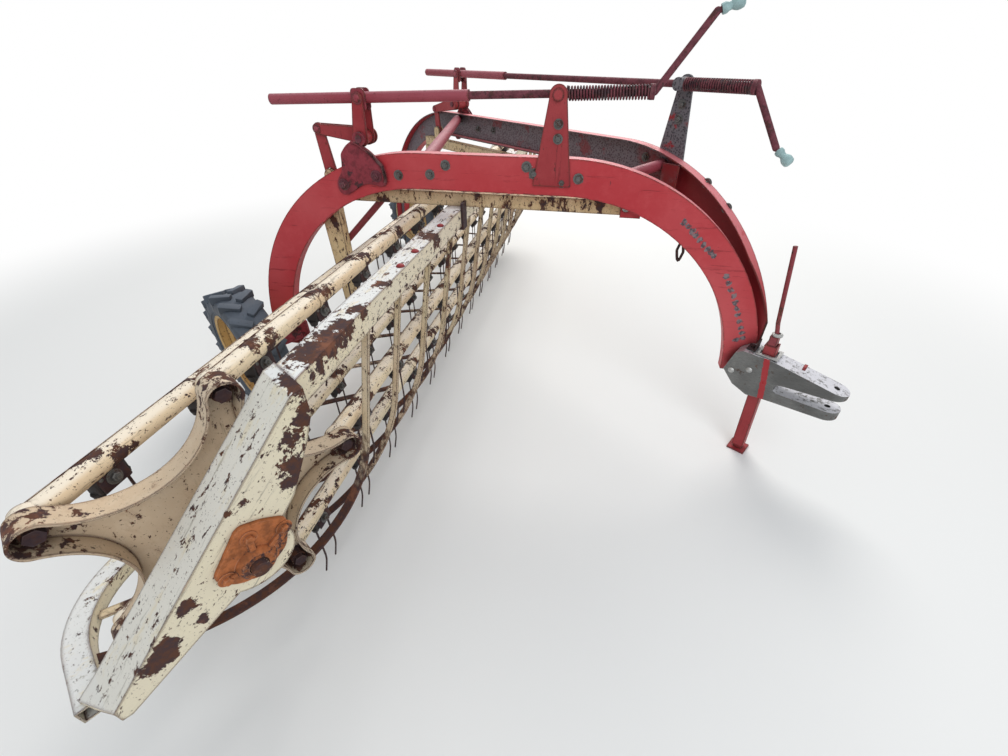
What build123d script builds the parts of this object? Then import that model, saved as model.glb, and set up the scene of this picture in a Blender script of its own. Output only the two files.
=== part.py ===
# Side delivery rake: an arched V-frame on two wheels carries a slanting five-bar reel basket.
# Millimetres. X points forward in travel, Y to the left, Z up. The ground is z = 0.
import os
from math import acos, asin, atan2, cos, degrees, radians, sin, sqrt, tan
from build123d import *

# Where the model's own zero lies, measured from the front reel head's tip plane on the ground
ORIGIN_X = -845.0
ORIGIN_Y = 1425.3

# Frame rails: pressed channels bent to an arch, one to each side, spreading from the hitch
HITCH_X = 567.0
RIGHT_RAIL_Y = 1805.0
LEFT_RAIL_Y = 1850.0
RIGHT_RAIL_TURN = 32.3
LEFT_RAIL_TURN = -7.1
RAIL_TOP = 1170.0
RAIL_DEPTH = 128.0
RAIL_WIDTH = 48.0
RAIL_WALL = 5.0
RAIL_BEND = 862.0
RIGHT_BENDS = (780.0, 1345.0)
LEFT_BENDS = (752.0, 2100.0)
RAIL_FRONT_END = 360.0
RAIL_REAR_END = 245.0

# Cross tubes between the rails
FRONT_TUBE_OD = 42.0
FRONT_TUBE_X = 20.0
FRONT_TUBE_Z = 1095.0
REAR_TUBE_OD = 48.0
REAR_TUBE_Z = 1139.0
REAR_TUBE_RIGHT = 1316.0
REAR_TUBE_LEFT = 2046.0

# Hitch fork
FORK_RIGHT = 1740.0
FORK_LEFT = 1866.0
FORK_PIN_X = 935.0
FORK_PIN_D = 21.0
TONGUE_WIDTH = 90.0
TONGUE_Y = 1790.0
FORK_WALL = 12.0

# Stand leg
LEG_X = 708.0
LEG_SIDE = 46.0
LEG_WALL = 5.0
LEG_TILT = 3.0
LEG_TOP = 545.0
SHOE_SIDE = 74.0
SHOE_THICK = 8.0
LEG_PLAY = 0.5

# Wheels
TYRE_OD = 620.0
TYRE_WIDTH = 165.0
RIM_R = 200.0
RIM_WIDTH = 142.0
SPINDLE_D = 32.0
HUB_D = 84.0
HUB_LENGTH = 130.0
HUB_PLAY = 0.08
RIGHT_WHEEL = (-1180.0, 457.0)
LEFT_WHEEL = (-2360.0, 2360.0)

# Reel
SWEEP = 31.8
REEL_Z = 635.0
REEL_R = 305.0
REEL_SPAN = 3400.0
BAR_LINE_X = -10.0
HEAD_START = 6.0
HEAD_DEPTH = 56.0
HEAD_WALL = 5.0
TIP_R = 36.0
VALLEY_R = 175.0
FIRST_TIP = 18.2
BARS = 5
BAR_OD = 48.0
BAR_WALL = 3.0
BAR_END_R = 28.0
BAR_END_LENGTH = 24.0
PIN_D = 20.0
PIN_PLAY = 0.08
SHAFT_D = 35.0
HUB_R = 55.0

# Tines
TINE_PITCH = 138.5
TINE_COUNT = 13
TINE_FIRST_X = -79.0
TINE_PAIR = 32.0
TINE_D = 6.5
TINE_REACH = 268.0
TINE_BEND = 60.0
MOUNT_LENGTH = 72.0
MOUNT_WIDTH = 34.0
MOUNT_HEIGHT = 30.0

# Basket
BEAM_N = 214.0
BEAM_WIDTH = 68.0
BEAM_TOP = 970.0
BEAM_HEIGHT = 65.0
BEAM_WALL = 5.0
BEAM_FRONT_Y = 198.0
REAR_CORNER_Y = 220.0
CORNER_WIDTH = 80.0
PLATE_X = 195.0
PLATE_WALL = 5.0
FLANGE_DEPTH = 120.0
LIP_DEPTH = 26.0
BULGE_R = 84.0
LOWER_N = -325.0
LOWER_WIDTH = 50.0
LOWER_HEIGHT = 40.0
LOWER_WALL = 4.0
GUARD_BEND = 230.0
STRIP_R = 388.0
STRIP_THICK = 7.0
STRIP_WIDTH = 24.0
STRIP_TOP_Y = 452.0
STRIP_SHIFT = 24.0
STRIP_END_GAP = 18.8
STRIP_END_ANGLE = 35.3
GUIDE_WIDTH = 30.0
GUARD_Y = -(STRIP_R + STRIP_END_GAP) * cos(radians(STRIP_END_ANGLE)) - LOWER_WIDTH / 2
LOWER_Z = REEL_Z - (STRIP_R + STRIP_END_GAP) * sin(radians(STRIP_END_ANGLE))

# Suspension arms and lift
ARM_INSET = 56.0
ARM_WIDTH = 40.0
ARM_HEIGHT = 52.0
ARM_WALL = 4.0
PIVOT_X = 78.5
PIVOT_Z = 997.0
PIVOT_D = 24.0
LIFT_INSET = 34.0
LIFT_TUBE_OD = 36.0
SCREW_D = 25.0
SPRING_OD = 46.0
CRANK_D = 22.0
KNOB_D = 36.0
KNOB_LENGTH = 62.0
STRAP_INSET = 72.0
STRAP_THICK = 8.0
PLATE_THICK = 6.0


class Side:
    # One rail's own plane: s runs rearward from the hitch, z up, inset inboard from the web's outer face
    def __init__(self, y, turn, inboard, bends, post, pivot, top_pin, rear_pin, lug, tube, hanger):
        a = radians(turn)
        self.origin = Vector(HITCH_X, y, 0)
        self.run = Vector(-cos(a), -sin(a), 0)
        self.normal = Vector(-sin(a), cos(a), 0)
        self.inboard = inboard
        self.bends = bends
        self.post = post
        self.pivot = pivot
        self.top_pin = top_pin
        self.rear_pin = rear_pin
        self.lug = lug
        self.tube = tube
        self.hanger = hanger
        self.plane = Plane(origin=self.origin, x_dir=self.run, z_dir=self.normal)

    def at(self, s, z, inset=0.0):
        return self.origin + self.run * s + self.normal * (self.inboard * inset) + Vector(0, 0, z)

    def slab(self, sketch, near, far):
        low = min(self.inboard * near, self.inboard * far)
        return extrude(self.plane * Pos(0, 0, low) * sketch, abs(far - near))


# post, pivot, top pin, rear pin and lug are (s, z); tube is (front end, rear end) along s; hanger is s
RIGHT = Side(RIGHT_RAIL_Y, RIGHT_RAIL_TURN, 1, RIGHT_BENDS, (824, 1362), (1560, 1212), (1547, 1341),
             (1766, 1232), (1750, 1062), (1138, 1912), 1786)
LEFT = Side(LEFT_RAIL_Y, LEFT_RAIL_TURN, -1, LEFT_BENDS, (522, 1378), (1970, 1222), (1957, 1370),
            (2174, 1184), (2165, 1062), (1550, 2311), 2262)
SIDES = (RIGHT, LEFT)

ALONG = Vector(-sin(radians(SWEEP)), cos(radians(SWEEP)), 0)
ACROSS = Vector(cos(radians(SWEEP)), sin(radians(SWEEP)), 0)
REAR_HEAD = Vector(2 * BAR_LINE_X, 0, 0) + ALONG * REEL_SPAN
SLOPE = cos(radians(SWEEP)) / sin(radians(SWEEP))
SKEW = Plane(origin=(0, 0, 0), x_dir=ALONG, z_dir=(0, 0, 1))


def reel_y(x):
    # Where the reel's axis crosses the plane at x
    return (BAR_LINE_X - x) * SLOPE


def on_line(n, b, z):
    return ACROSS * n + ALONG * b + Vector(0, 0, z)


def tip(k):
    a = radians(FIRST_TIP + k * 360.0 / BARS)
    return (REEL_R * sin(a), REEL_Z + REEL_R * cos(a))


def rod(p, q, r, bore=0.0):
    p = Vector(*p)
    q = Vector(*q)
    face = Circle(r) - Circle(bore) if bore else Circle(r)
    return extrude(Plane(origin=p, z_dir=q - p) * face, (q - p).length)


def block(x0, x1, y0, y1, z0, z1):
    return Pos((x0 + x1) / 2, (y0 + y1) / 2, (z0 + z1) / 2) * Box(abs(x1 - x0), abs(y1 - y0), abs(z1 - z0))


def arc(c, r, a0, a1):
    p = [(c[0] + r * cos(radians(a)), c[1] + r * sin(radians(a))) for a in (a0, (a0 + a1) / 2, a1)]
    return ThreePointArc(*p)


def save(shape, name):
    export_step(Pos(-ORIGIN_X, -ORIGIN_Y, 0) * shape, "parts/" + name + ".step")


# Rails
RAIL_CENTRE_Z = RAIL_TOP - RAIL_BEND


def arch_face(bends, inset, front_end, rear_end):
    front, rear = bends
    zc = RAIL_CENTRE_Z
    outer = RAIL_BEND - inset
    inner = RAIL_BEND - RAIL_DEPTH + inset
    fo = 180 - degrees(asin((front_end - zc) / outer))
    fi = 180 - degrees(asin((front_end - zc) / inner))
    ro = degrees(asin((rear_end - zc) / outer))
    ri = degrees(asin((rear_end - zc) / inner))
    front_out = arc((front, zc), outer, fo, 90)
    rear_out = arc((rear, zc), outer, 90, ro)
    rear_in = arc((rear, zc), inner, ri, 90)
    front_in = arc((front, zc), inner, 90, fi)
    edges = [
        front_out,
        Line(front_out @ 1, rear_out @ 0),
        rear_out,
        Line(rear_out @ 1, rear_in @ 0),
        rear_in,
        Line(rear_in @ 1, front_in @ 0),
        front_in,
        Line(front_in @ 1, front_out @ 0),
    ]
    return make_face(edges)


def rail_height(side, s):
    # Top of the rail above the ground at s
    front, rear = side.bends
    off = max(front - s, s - rear, 0.0)
    return RAIL_CENTRE_Z + sqrt(RAIL_BEND ** 2 - off ** 2)


def rail(side):
    body = side.slab(arch_face(side.bends, 0, RAIL_FRONT_END, RAIL_REAR_END), 0, RAIL_WIDTH)
    pocket = arch_face(side.bends, RAIL_WALL, RAIL_FRONT_END - 40, RAIL_REAR_END - 40)
    body -= side.slab(pocket, RAIL_WALL, RAIL_WIDTH + 20)
    # Pivot plate for the suspension arm, across the flange edges
    s, z = arm_pivot(side)
    low = min(PIVOT_Z - 34, z - 34)
    plate = Pos(s, (low + 1110) / 2) * Rectangle(76, 1110 - low)
    body += side.slab(plate, RAIL_WIDTH - 1, RAIL_WIDTH + PLATE_THICK)
    hole = side.at(s, z, ARM_INSET + ARM_WIDTH / 2)
    body -= rod(hole - Vector(0, 150, 0), hole + Vector(0, 150, 0), PIVOT_D / 2 + 0.1)
    return body


def arm_pivot(side):
    # Where the pivot line crosses the middle of this arm, in the rail's own plane
    middle = ARM_INSET + ARM_WIDTH / 2
    start = side.at(0, 0, middle)
    return ((PIVOT_X - start.X) / side.run.X, PIVOT_Z)


# The rails' outer faces cross at one point ahead of the leg ends, and the rails are mitred there
spread = RIGHT.run.cross(LEFT.run).Z
meet = (LEFT.origin - RIGHT.origin).cross(LEFT.run).Z / spread
crossing = RIGHT.at(meet, 0)
mid_turn = radians((RIGHT_RAIL_TURN + LEFT_RAIL_TURN) / 2)
mitre = Plane(origin=crossing, x_dir=(cos(mid_turn), sin(mid_turn), 0), z_dir=(-sin(mid_turn), cos(mid_turn), 0))
behind = block(-3000, crossing.X - 0.5, -1000, 4000, 0, 1400)
right_rail = split(rail(RIGHT) & behind, bisect_by=mitre, keep=Keep.BOTTOM)
left_rail = split(rail(LEFT) & behind, bisect_by=mitre, keep=Keep.TOP)
save(right_rail, "right_rail")
save(left_rail, "left_rail")

# Cross tubes, from web to web
def flat(p):
    return (p.X, p.Y)


corners = [RIGHT.at(300, 0, RAIL_WALL), RIGHT.at(2600, 0, RAIL_WALL), LEFT.at(3200, 0, RAIL_WALL), LEFT.at(300, 0, RAIL_WALL)]
inside = extrude(make_face(Polyline([flat(p) for p in corners], close=True)), 1400)
front_tube = rod((FRONT_TUBE_X, 1200, FRONT_TUBE_Z), (FRONT_TUBE_X, 2200, FRONT_TUBE_Z), FRONT_TUBE_OD / 2, FRONT_TUBE_OD / 2 - 4)
a = RIGHT.at(REAR_TUBE_RIGHT, REAR_TUBE_Z)
b = LEFT.at(REAR_TUBE_LEFT, REAR_TUBE_Z)
reach = (b - a).normalized() * 100
rear_tube = rod(a - reach, b + reach, REAR_TUBE_OD / 2, REAR_TUBE_OD / 2 - 4)
save(Compound([front_tube & inside, rear_tube & inside]), "cross_tubes")

# Hitch fork: cheeks on both rails, a guide for the stand leg and two tongues with one pin hole
side_view = make_face(Polyline(
    [(548, 392), (572, 482), (598, 500), (690, 500), (985, 452), (985, 432), (768, 408), (752, 402), (746, 388),
     (750, 374), (766, 368), (985, 376), (985, 340), (760, 322), (664, 312), (600, 338)], close=True))
fork = extrude(Plane(origin=(0, FORK_LEFT, 0), x_dir=(1, 0, 0), z_dir=(0, -1, 0)) * side_view, FORK_LEFT - FORK_RIGHT)
plan = make_face(Polyline(
    [(520, FORK_RIGHT), (660, FORK_RIGHT), (700, TONGUE_Y - TONGUE_WIDTH / 2), (FORK_PIN_X, TONGUE_Y - TONGUE_WIDTH / 2),
     (FORK_PIN_X, TONGUE_Y + TONGUE_WIDTH / 2), (700, TONGUE_Y + TONGUE_WIDTH / 2), (660, FORK_LEFT), (520, FORK_LEFT)], close=True))
plan += Pos(FORK_PIN_X, TONGUE_Y) * Circle(TONGUE_WIDTH / 2)
fork &= extrude(Pos(0, 0, 280) * plan, 260)
# The rails' webs run in between the cheeks and meet at the point
wedge = make_face(Polyline([flat(p) for p in (RIGHT.at(meet, 0), RIGHT.at(meet + 320, 0), LEFT.at(meet + 320, 0))], close=True))
fork -= extrude(Pos(0, 0, 250) * wedge, 400)
fork -= rod((FORK_PIN_X, TONGUE_Y, 300), (FORK_PIN_X, TONGUE_Y, 520), FORK_PIN_D / 2)
# The tongues are folded: open beneath, walls at both sides
nose = FORK_PIN_X - TONGUE_WIDTH / 2
for low, high in ((400, 448), (310, 362)):
    fork -= block(790, nose, TONGUE_Y - TONGUE_WIDTH / 2 + FORK_WALL, TONGUE_Y + TONGUE_WIDTH / 2 - FORK_WALL, low, high)
lean = Pos(LEG_X, TONGUE_Y, 0) * Rot(0, -LEG_TILT, 0)
fork -= lean * Pos(0, 0, 400) * Box(LEG_SIDE + 2 * LEG_PLAY, LEG_SIDE + 2 * LEG_PLAY, 400)
save(fork, "hitch_fork")

# Stand leg: square tube with a flat shoe, and the pull handle on its top
leg = Pos(0, 0, LEG_TOP / 2 + 12) * Box(LEG_SIDE, LEG_SIDE, LEG_TOP - 24)
leg -= Pos(0, 0, LEG_TOP / 2 + 30) * Box(LEG_SIDE - 2 * LEG_WALL, LEG_SIDE - 2 * LEG_WALL, LEG_TOP)
leg = lean * leg
shoe_x = LEG_X
shoe = block(shoe_x - SHOE_SIDE / 2, shoe_x + SHOE_SIDE / 2, TONGUE_Y - SHOE_SIDE / 2, TONGUE_Y + SHOE_SIDE / 2, 0, SHOE_THICK)
stem = block(shoe_x - 17, shoe_x + 17, TONGUE_Y - 17, TONGUE_Y + 17, SHOE_THICK - 1, 60)
leg = leg + shoe + stem
save(leg, "stand_leg")
top = lean * Pos(0, 0, LEG_TOP)
yoke = lean * Pos(0, 0, LEG_TOP + 20) * Box(30, 40, 40)
h0 = Vector(LEG_X - 26, TONGUE_Y, LEG_TOP + 36)
h1 = Vector(LEG_X - 14 - 26, TONGUE_Y, LEG_TOP + 90)
h2 = Vector(626, TONGUE_Y, 926)
handle = rod(h0, h1, 8) + rod(h1, h2, 8) + Pos(*h1) * Sphere(8)
save(yoke + handle, "stand_handle")

# Wheel spindles: a bracket on each leg's foot and a spindle along the wheel's axle
spindles = []
for side, (wx, wy), out in ((RIGHT, RIGHT_WHEEL, -1), (LEFT, LEFT_WHEEL, 1)):
    s_axle = (wx - side.origin.X) / side.run.X
    foot_z = TYRE_OD / 2
    leg_mid = side.bends[1] + RAIL_BEND - RAIL_DEPTH / 2
    low = min(s_axle, leg_mid) - 52
    high = max(s_axle, leg_mid) + 52
    plate = Pos((low + high) / 2, foot_z + 18) * RectangleRounded(high - low, 140, 18)
    bracket = side.slab(plate, -12, 0)
    meet = side.at(s_axle, foot_z, -6)
    inner = Vector(wx, wy - out * (HUB_LENGTH / 2 + 2), foot_z)
    outer = Vector(wx, wy + out * (HUB_LENGTH / 2 + 10), foot_z)
    collar = Vector(wx, meet.Y, foot_z)
    spindle = rod(collar, inner, SPINDLE_D / 2 + 9) + rod(inner, outer, SPINDLE_D / 2)
    nut = rod(outer - Vector(0, out * 8, 0), outer + Vector(0, out * 12, 0), 24)
    half = Pos(*collar) * Box(160, 160, 200)
    far_side = side.slab(Pos(s_axle, foot_z) * Rectangle(500, 500), 0, 300)
    spindles.append((bracket + (spindle - far_side)) + nut)
save(Compound(spindles), "wheel_spindles")

# Wheels
def wheel(center, name):
    wx, wy = center
    r = TYRE_OD / 2
    w = TYRE_WIDTH / 2
    seat = RIM_WIDTH / 2 - 9
    half = [(RIM_R, -seat), (RIM_R + 28, -seat - 6), (RIM_R + 62, -w), (r - 26, -w + 6), (r - 6, -w + 26), (r, 0),
            (r - 6, w - 26), (r - 26, w - 6), (RIM_R + 62, w), (RIM_R + 28, seat + 6), (RIM_R, seat)]
    prof = Plane(origin=(wx, wy, r), x_dir=(0, 0, 1), z_dir=(-1, 0, 0)) * make_face(Polyline(half, close=True))
    axis = Axis((wx, wy, r), (0, 1, 0))
    tyre = revolve(prof, axis)
    save(tyre, name + "_tyre")
    s = RIM_WIDTH / 2
    rim_pts = [(RIM_R + 14, -s), (RIM_R + 14, -s + 4), (RIM_R, -s + 8), (RIM_R, -30), (RIM_R - 22, -16), (RIM_R - 22, 16),
               (RIM_R, 30), (RIM_R, s - 8), (RIM_R + 14, s - 4), (RIM_R + 14, s), (RIM_R + 8, s), (RIM_R - 5, s - 6),
               (RIM_R - 5, 32), (RIM_R - 27, 18), (RIM_R - 27, -18), (RIM_R - 5, -32), (RIM_R - 5, -s + 6), (RIM_R + 8, -s)]
    rim = revolve(Plane(origin=(wx, wy, r), x_dir=(0, 0, 1), z_dir=(-1, 0, 0)) * make_face(Polyline(rim_pts, close=True)), axis)
    dish = [(HUB_D / 2 - 4, -5), (90, -5), (125, 12), (RIM_R - 24, 12), (RIM_R - 24, 17), (122, 17), (87, 0), (HUB_D / 2 - 4, 0)]
    rim += revolve(Plane(origin=(wx, wy, r), x_dir=(0, 0, 1), z_dir=(-1, 0, 0)) * make_face(Polyline(dish, close=True)), axis)
    rim += rod((wx, wy - HUB_LENGTH / 2, r), (wx, wy + HUB_LENGTH / 2, r), HUB_D / 2)
    rim -= rod((wx, wy - HUB_LENGTH, r), (wx, wy + HUB_LENGTH, r), SPINDLE_D / 2 + HUB_PLAY)
    for k in range(4):
        a = radians(45 + 90 * k)
        rim -= rod((wx + 148 * cos(a), wy - 60, r + 148 * sin(a)), (wx + 148 * cos(a), wy + 60, r + 148 * sin(a)), 17)
    save(rim, name + "_rim")


wheel(RIGHT_WHEEL, "right_wheel")
wheel(LEFT_WHEEL, "left_wheel")

# Reel heads: five-armed pressed dishes, open away from the bars
def star(tip_r, valley_r):
    edges = []
    for k in range(BARS):
        a = radians(FIRST_TIP + k * 360.0 / BARS)
        nxt = radians(FIRST_TIP + (k + 1) * 360.0 / BARS)
        mid = (a + nxt) / 2
        c = (REEL_R * sin(a), REEL_R * cos(a))
        t = (cos(a), -sin(a))
        p0 = (c[0] - tip_r * t[0], c[1] - tip_r * t[1])
        p1 = ((REEL_R + tip_r) * sin(a), (REEL_R + tip_r) * cos(a))
        p2 = (c[0] + tip_r * t[0], c[1] + tip_r * t[1])
        c2 = (REEL_R * sin(nxt), REEL_R * cos(nxt))
        t2 = (cos(nxt), -sin(nxt))
        p3 = (c2[0] - tip_r * t2[0], c2[1] - tip_r * t2[1])
        edges.append(ThreePointArc(p0, p1, p2))
        edges.append(ThreePointArc(p2, (valley_r * sin(mid), valley_r * cos(mid)), p3))
    return make_face(edges)


def head(centre, way, name):
    # way is 1 where the dish opens forward, -1 where it opens to the rear
    base = Plane(origin=(centre.X, centre.Y, REEL_Z), x_dir=(0, 1, 0), z_dir=(1, 0, 0))
    x0 = way * HEAD_START
    x1 = way * (HEAD_START + HEAD_DEPTH)

    def slice_of(sketch, near, far):
        return extrude(base * Pos(0, 0, min(near, far)) * sketch, abs(far - near))

    dish = slice_of(star(TIP_R, VALLEY_R), x0, x1)
    dish -= slice_of(star(TIP_R - HEAD_WALL, VALLEY_R - HEAD_WALL), x0 + way * HEAD_WALL, x1 + way * 5)
    dish += slice_of(Circle(HUB_R), x0, way * (HEAD_START + 84))
    pins = []
    for k in range(BARS):
        y, z = tip(k)
        z -= REEL_Z
        dish += slice_of(Pos(y, z) * Circle(PIN_D / 2 + 9), x0, way * (HEAD_START + 30))
        dish -= slice_of(Pos(y, z) * Circle(PIN_D / 2 + 0.1), x0 - way * 5, way * (HEAD_START + 60))
        pin = slice_of(Pos(y, z) * Circle(PIN_D / 2), way * (BAR_LINE_X - BAR_END_LENGTH / 2 + 1), way * (HEAD_START + 32))
        pin += slice_of(Pos(y, z) * RegularPolygon(17, 6), way * (HEAD_START + 30.3), way * (HEAD_START + 43))
        pins.append(pin)
    shaft_end = way * (PLATE_X + 42)
    dish += slice_of(Circle(SHAFT_D / 2), x0 + way, shaft_end)
    save(dish, name + "_head")
    save(Compound(pins), name + "_pins")


head(Vector(0, 0, 0), 1, "front_reel")
head(REAR_HEAD, -1, "rear_reel")

# Tine bars: a tube with a bearing eye at each end, rubber tine blocks beneath it
for k in range(BARS):
    y, z = tip(k)
    start = Vector(BAR_LINE_X, y, z)
    stop = start + ALONG * REEL_SPAN
    tube = rod(start, stop, BAR_OD / 2, BAR_OD / 2 - BAR_WALL)
    half = BAR_END_LENGTH / 2
    keep = block(stop.X - half, start.X + half, y - 200, stop.Y + 200, z - 60, z + 60)
    bar = tube & keep
    for p in (start, stop):
        bar += rod(p - Vector(half, 0, 0), p + Vector(half, 0, 0), BAR_END_R)
    for p in (start, stop):
        bar -= rod(p - Vector(30, 0, 0), p + Vector(30, 0, 0), PIN_D / 2 + PIN_PLAY)
    save(bar, "tine_bar_%d" % (k + 1))
    blocks = []
    for i in range(TINE_COUNT):
        x = TINE_FIRST_X - i * TINE_PITCH
        mid = Vector(x, y + reel_y(x), z)
        seat = Plane(origin=mid, x_dir=ALONG, z_dir=(0, 0, 1))
        low = -BAR_OD / 2 - MOUNT_HEIGHT + 8
        rubber = seat * Pos(0, 0, (low - 0.0) / 2 - 4) * Box(MOUNT_LENGTH, MOUNT_WIDTH, abs(low) - 8)
        rubber -= rod(mid - ALONG * 80, mid + ALONG * 80, BAR_OD / 2)
        for way in (-1, 1):
            x1 = x + way * TINE_PAIR / 2
            p = Vector(x1, y + reel_y(x1), z + low + 6)
            knee = Vector(x1, p.Y, z - TINE_REACH + TINE_BEND)
            end = Vector(x1, p.Y - 16, z - TINE_REACH)
            wire = Polyline([tuple(p), tuple(knee), tuple(end)])
            prof = Plane(origin=p, z_dir=(0, 0, -1)) * RegularPolygon(TINE_D / 2, 6)
            rubber += sweep(prof, path=wire, transition=Transition.RIGHT)
        blocks.append(rubber)
    save(Compound(blocks), "tines_%d" % (k + 1))

# Basket main beam, with the square corner behind the rear head
def beam_box(n0, n1, b0, b1, z0, z1):
    return SKEW * block(b0, b1, -n1, -n0, z0, z1)


n0 = BEAM_N - BEAM_WIDTH / 2
n1 = BEAM_N + BEAM_WIDTH / 2
beam_bottom = BEAM_TOP - BEAM_HEIGHT
rear_y = REAR_HEAD.Y + REAR_CORNER_Y
w = BEAM_WALL
beam = beam_box(n0, n1, -200, 4200, beam_bottom, BEAM_TOP)
beam -= beam_box(n0 + w, n1 - w, -300, 4300, beam_bottom + w, BEAM_TOP - w)
cover = beam_box(n0, n1, -200, 4200, beam_bottom, BEAM_TOP)
length = block(-2600, 600, BEAM_FRONT_Y, rear_y, beam_bottom - 1, BEAM_TOP + 1)
beam &= length
beam += cover & block(-200, 600, BEAM_FRONT_Y, BEAM_FRONT_Y + w, beam_bottom - 1, BEAM_TOP + 1)
rear_web = REAR_HEAD.X - PLATE_X
corner_x = (n1 - ACROSS.Y * rear_y) / ACROSS.X
corner = block(rear_web, corner_x, rear_y, rear_y + CORNER_WIDTH, beam_bottom, BEAM_TOP)
corner -= block(rear_web + w, corner_x - w, rear_y + w, rear_y + CORNER_WIDTH - w, beam_bottom + w, BEAM_TOP - w)
save(beam + corner, "main_beam")

# End beams: a web across the reel's end with a deep flange along its upper edge
def end_beam(centre, way, top_y, foot):
    base = Plane(origin=(centre.X, centre.Y, 0), x_dir=(0, 1, 0), z_dir=(1, 0, 0))

    def slice_of(sketch, near, far):
        return extrude(base * Pos(0, 0, min(near, far)) * sketch, abs(far - near))

    tube_top = LOWER_Z + LOWER_HEIGHT / 2
    upper = [(top_y, BEAM_TOP), (top_y - 26, BEAM_TOP - 8), (-322, 470), (-374, tube_top + 4)]
    lower = [(-292, 448), (-109, 541), (-33, 577), (115, 735), (174, 846), (top_y, beam_bottom)]
    web = make_face(Polyline(upper + foot + lower, close=True))
    web += Pos(0, REEL_Z) * Circle(BULGE_R)
    web -= Pos(0, REEL_Z) * Circle(SHAFT_D / 2 + 3)
    body = slice_of(web, way * PLATE_X, way * (PLATE_X + PLATE_WALL))
    t = PLATE_WALL
    band = make_face(Polyline(upper + [(-374, tube_top), (-348, tube_top), (-318, 464), (top_y - 26 + 3, BEAM_TOP - 8 - t), (top_y, BEAM_TOP - t)], close=True))
    body += slice_of(band, way * (PLATE_X - FLANGE_DEPTH + PLATE_WALL), way * (PLATE_X + 1))
    lip = make_face(Polyline([(-292, 448), (-109, 541), (-80, 555), (-83, 562), (-112, 549), (-295, 456)], close=True))
    body += slice_of(lip, way * (PLATE_X - LIP_DEPTH), way * (PLATE_X + 1))
    lip = make_face(Polyline([(93, 711), (115, 735), (174, 846), (top_y, beam_bottom), (top_y, beam_bottom + 9), (169, 850), (110, 739), (89, 716)], close=True))
    body += slice_of(lip, way * (PLATE_X - LIP_DEPTH), way * (PLATE_X + 1))
    return body


front_beam = end_beam(Vector(0, 0, 0), 1, BEAM_FRONT_Y, [(-374, LOWER_Z + LOWER_HEIGHT / 2), (-340, LOWER_Z + LOWER_HEIGHT / 2), (-318, 452)])
rear_beam = end_beam(REAR_HEAD, -1, REAR_CORNER_Y, [(-340, 378), (-290, 378)])
# The front beam's foot is cut off askew, from the web back to the flange's inner edge
flange_in = PLATE_X - FLANGE_DEPTH
cut = make_face(Polyline([(flange_in - 5, -374), (PLATE_X + 10, -306), (PLATE_X + 10, -500), (flange_in - 5, -500)], close=True))
front_beam -= extrude(cut, BEAM_TOP)
save(Compound([front_beam, rear_beam]), "end_beams")

# Reel bearings: diamond flange housings on the webs' outer faces
def bearing(centre, way):
    base = Plane(origin=(centre.X, centre.Y, REEL_Z), x_dir=(0, 1, 0), z_dir=(1, 0, 0))

    def slice_of(sketch, near, far):
        return extrude(base * Pos(0, 0, min(near, far)) * sketch, abs(far - near))

    x0 = way * (PLATE_X + PLATE_WALL)
    flange = make_hull([Pos(70 * sin(radians(a)), 70 * cos(radians(a))) * Circle(17).edges()[0] for a in (0, 90, 180, 270)])
    body = slice_of(flange, x0, x0 + way * 9)
    body += slice_of(Circle(46), x0, x0 + way * 17)
    body += slice_of(Circle(33), x0, x0 + way * 26)
    body -= slice_of(Circle(SHAFT_D / 2 + PIN_PLAY), x0 - way * 5, x0 + way * 40)
    for a in (0, 90, 180, 270):
        spot = Pos(70 * sin(radians(a)), 70 * cos(radians(a)))
        body += slice_of(spot * RegularPolygon(11, 6), x0 + way * 8, x0 + way * 17)
    return body


save(Compound([bearing(Vector(0, 0, 0), 1), bearing(REAR_HEAD, -1)]), "reel_bearings")

# Rear lower tube with its rounded front end
corner_b = (GUARD_Y - ACROSS.Y * LOWER_N) / ALONG.Y
turn = radians(90 - SWEEP)
back = GUARD_BEND * tan(turn / 2)
corner_p = on_line(LOWER_N, corner_b, LOWER_Z)
start = on_line(LOWER_N, corner_b + back, LOWER_Z)
finish = corner_p + Vector(back, 0, 0)
far_b = (rear_web - ACROSS.X * LOWER_N) / ALONG.X
far = on_line(LOWER_N, far_b, LOWER_Z)
path = [Line(far + ALONG * 60, start), TangentArc(start, finish, tangent=-ALONG), Line(finish, (PLATE_X, GUARD_Y, LOWER_Z))]
guard_end = flange_in + 24
section = Rectangle(LOWER_WIDTH, LOWER_HEIGHT) - Rectangle(LOWER_WIDTH - 2 * LOWER_WALL, LOWER_HEIGHT - 2 * LOWER_WALL)
lower = sweep(Plane(origin=far + ALONG * 60, x_dir=ACROSS, z_dir=-ALONG) * section, path=Wire(path))
lower &= block(rear_web, guard_end, -900, 3400, 0, 900)
lower_solid = sweep(Plane(origin=far + ALONG * 60, x_dir=ACROSS, z_dir=-ALONG) * Rectangle(LOWER_WIDTH, LOWER_HEIGHT), path=Wire(path))
save(lower, "rear_lower_tube")

# Stripper bars: flat bars bent round beneath the reel, one between each two rows of tines
def tangent_angle(p, r, sign):
    d = sqrt(p[0] ** 2 + p[1] ** 2)
    return degrees(atan2(p[1], p[0])) + sign * degrees(acos(r / d))


def tube_face_y(x):
    # Front face of the lower tube in the plane at x, round its bend too
    if x > finish.X:
        return GUARD_Y + LOWER_WIDTH / 2
    if x > start.X + LOWER_WIDTH / 2 * ACROSS.X:
        return GUARD_Y + GUARD_BEND - sqrt((GUARD_BEND - LOWER_WIDTH / 2) ** 2 - (x - finish.X) ** 2)
    return (LOWER_N + LOWER_WIDTH / 2 - ACROSS.X * x) / ACROSS.Y


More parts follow.
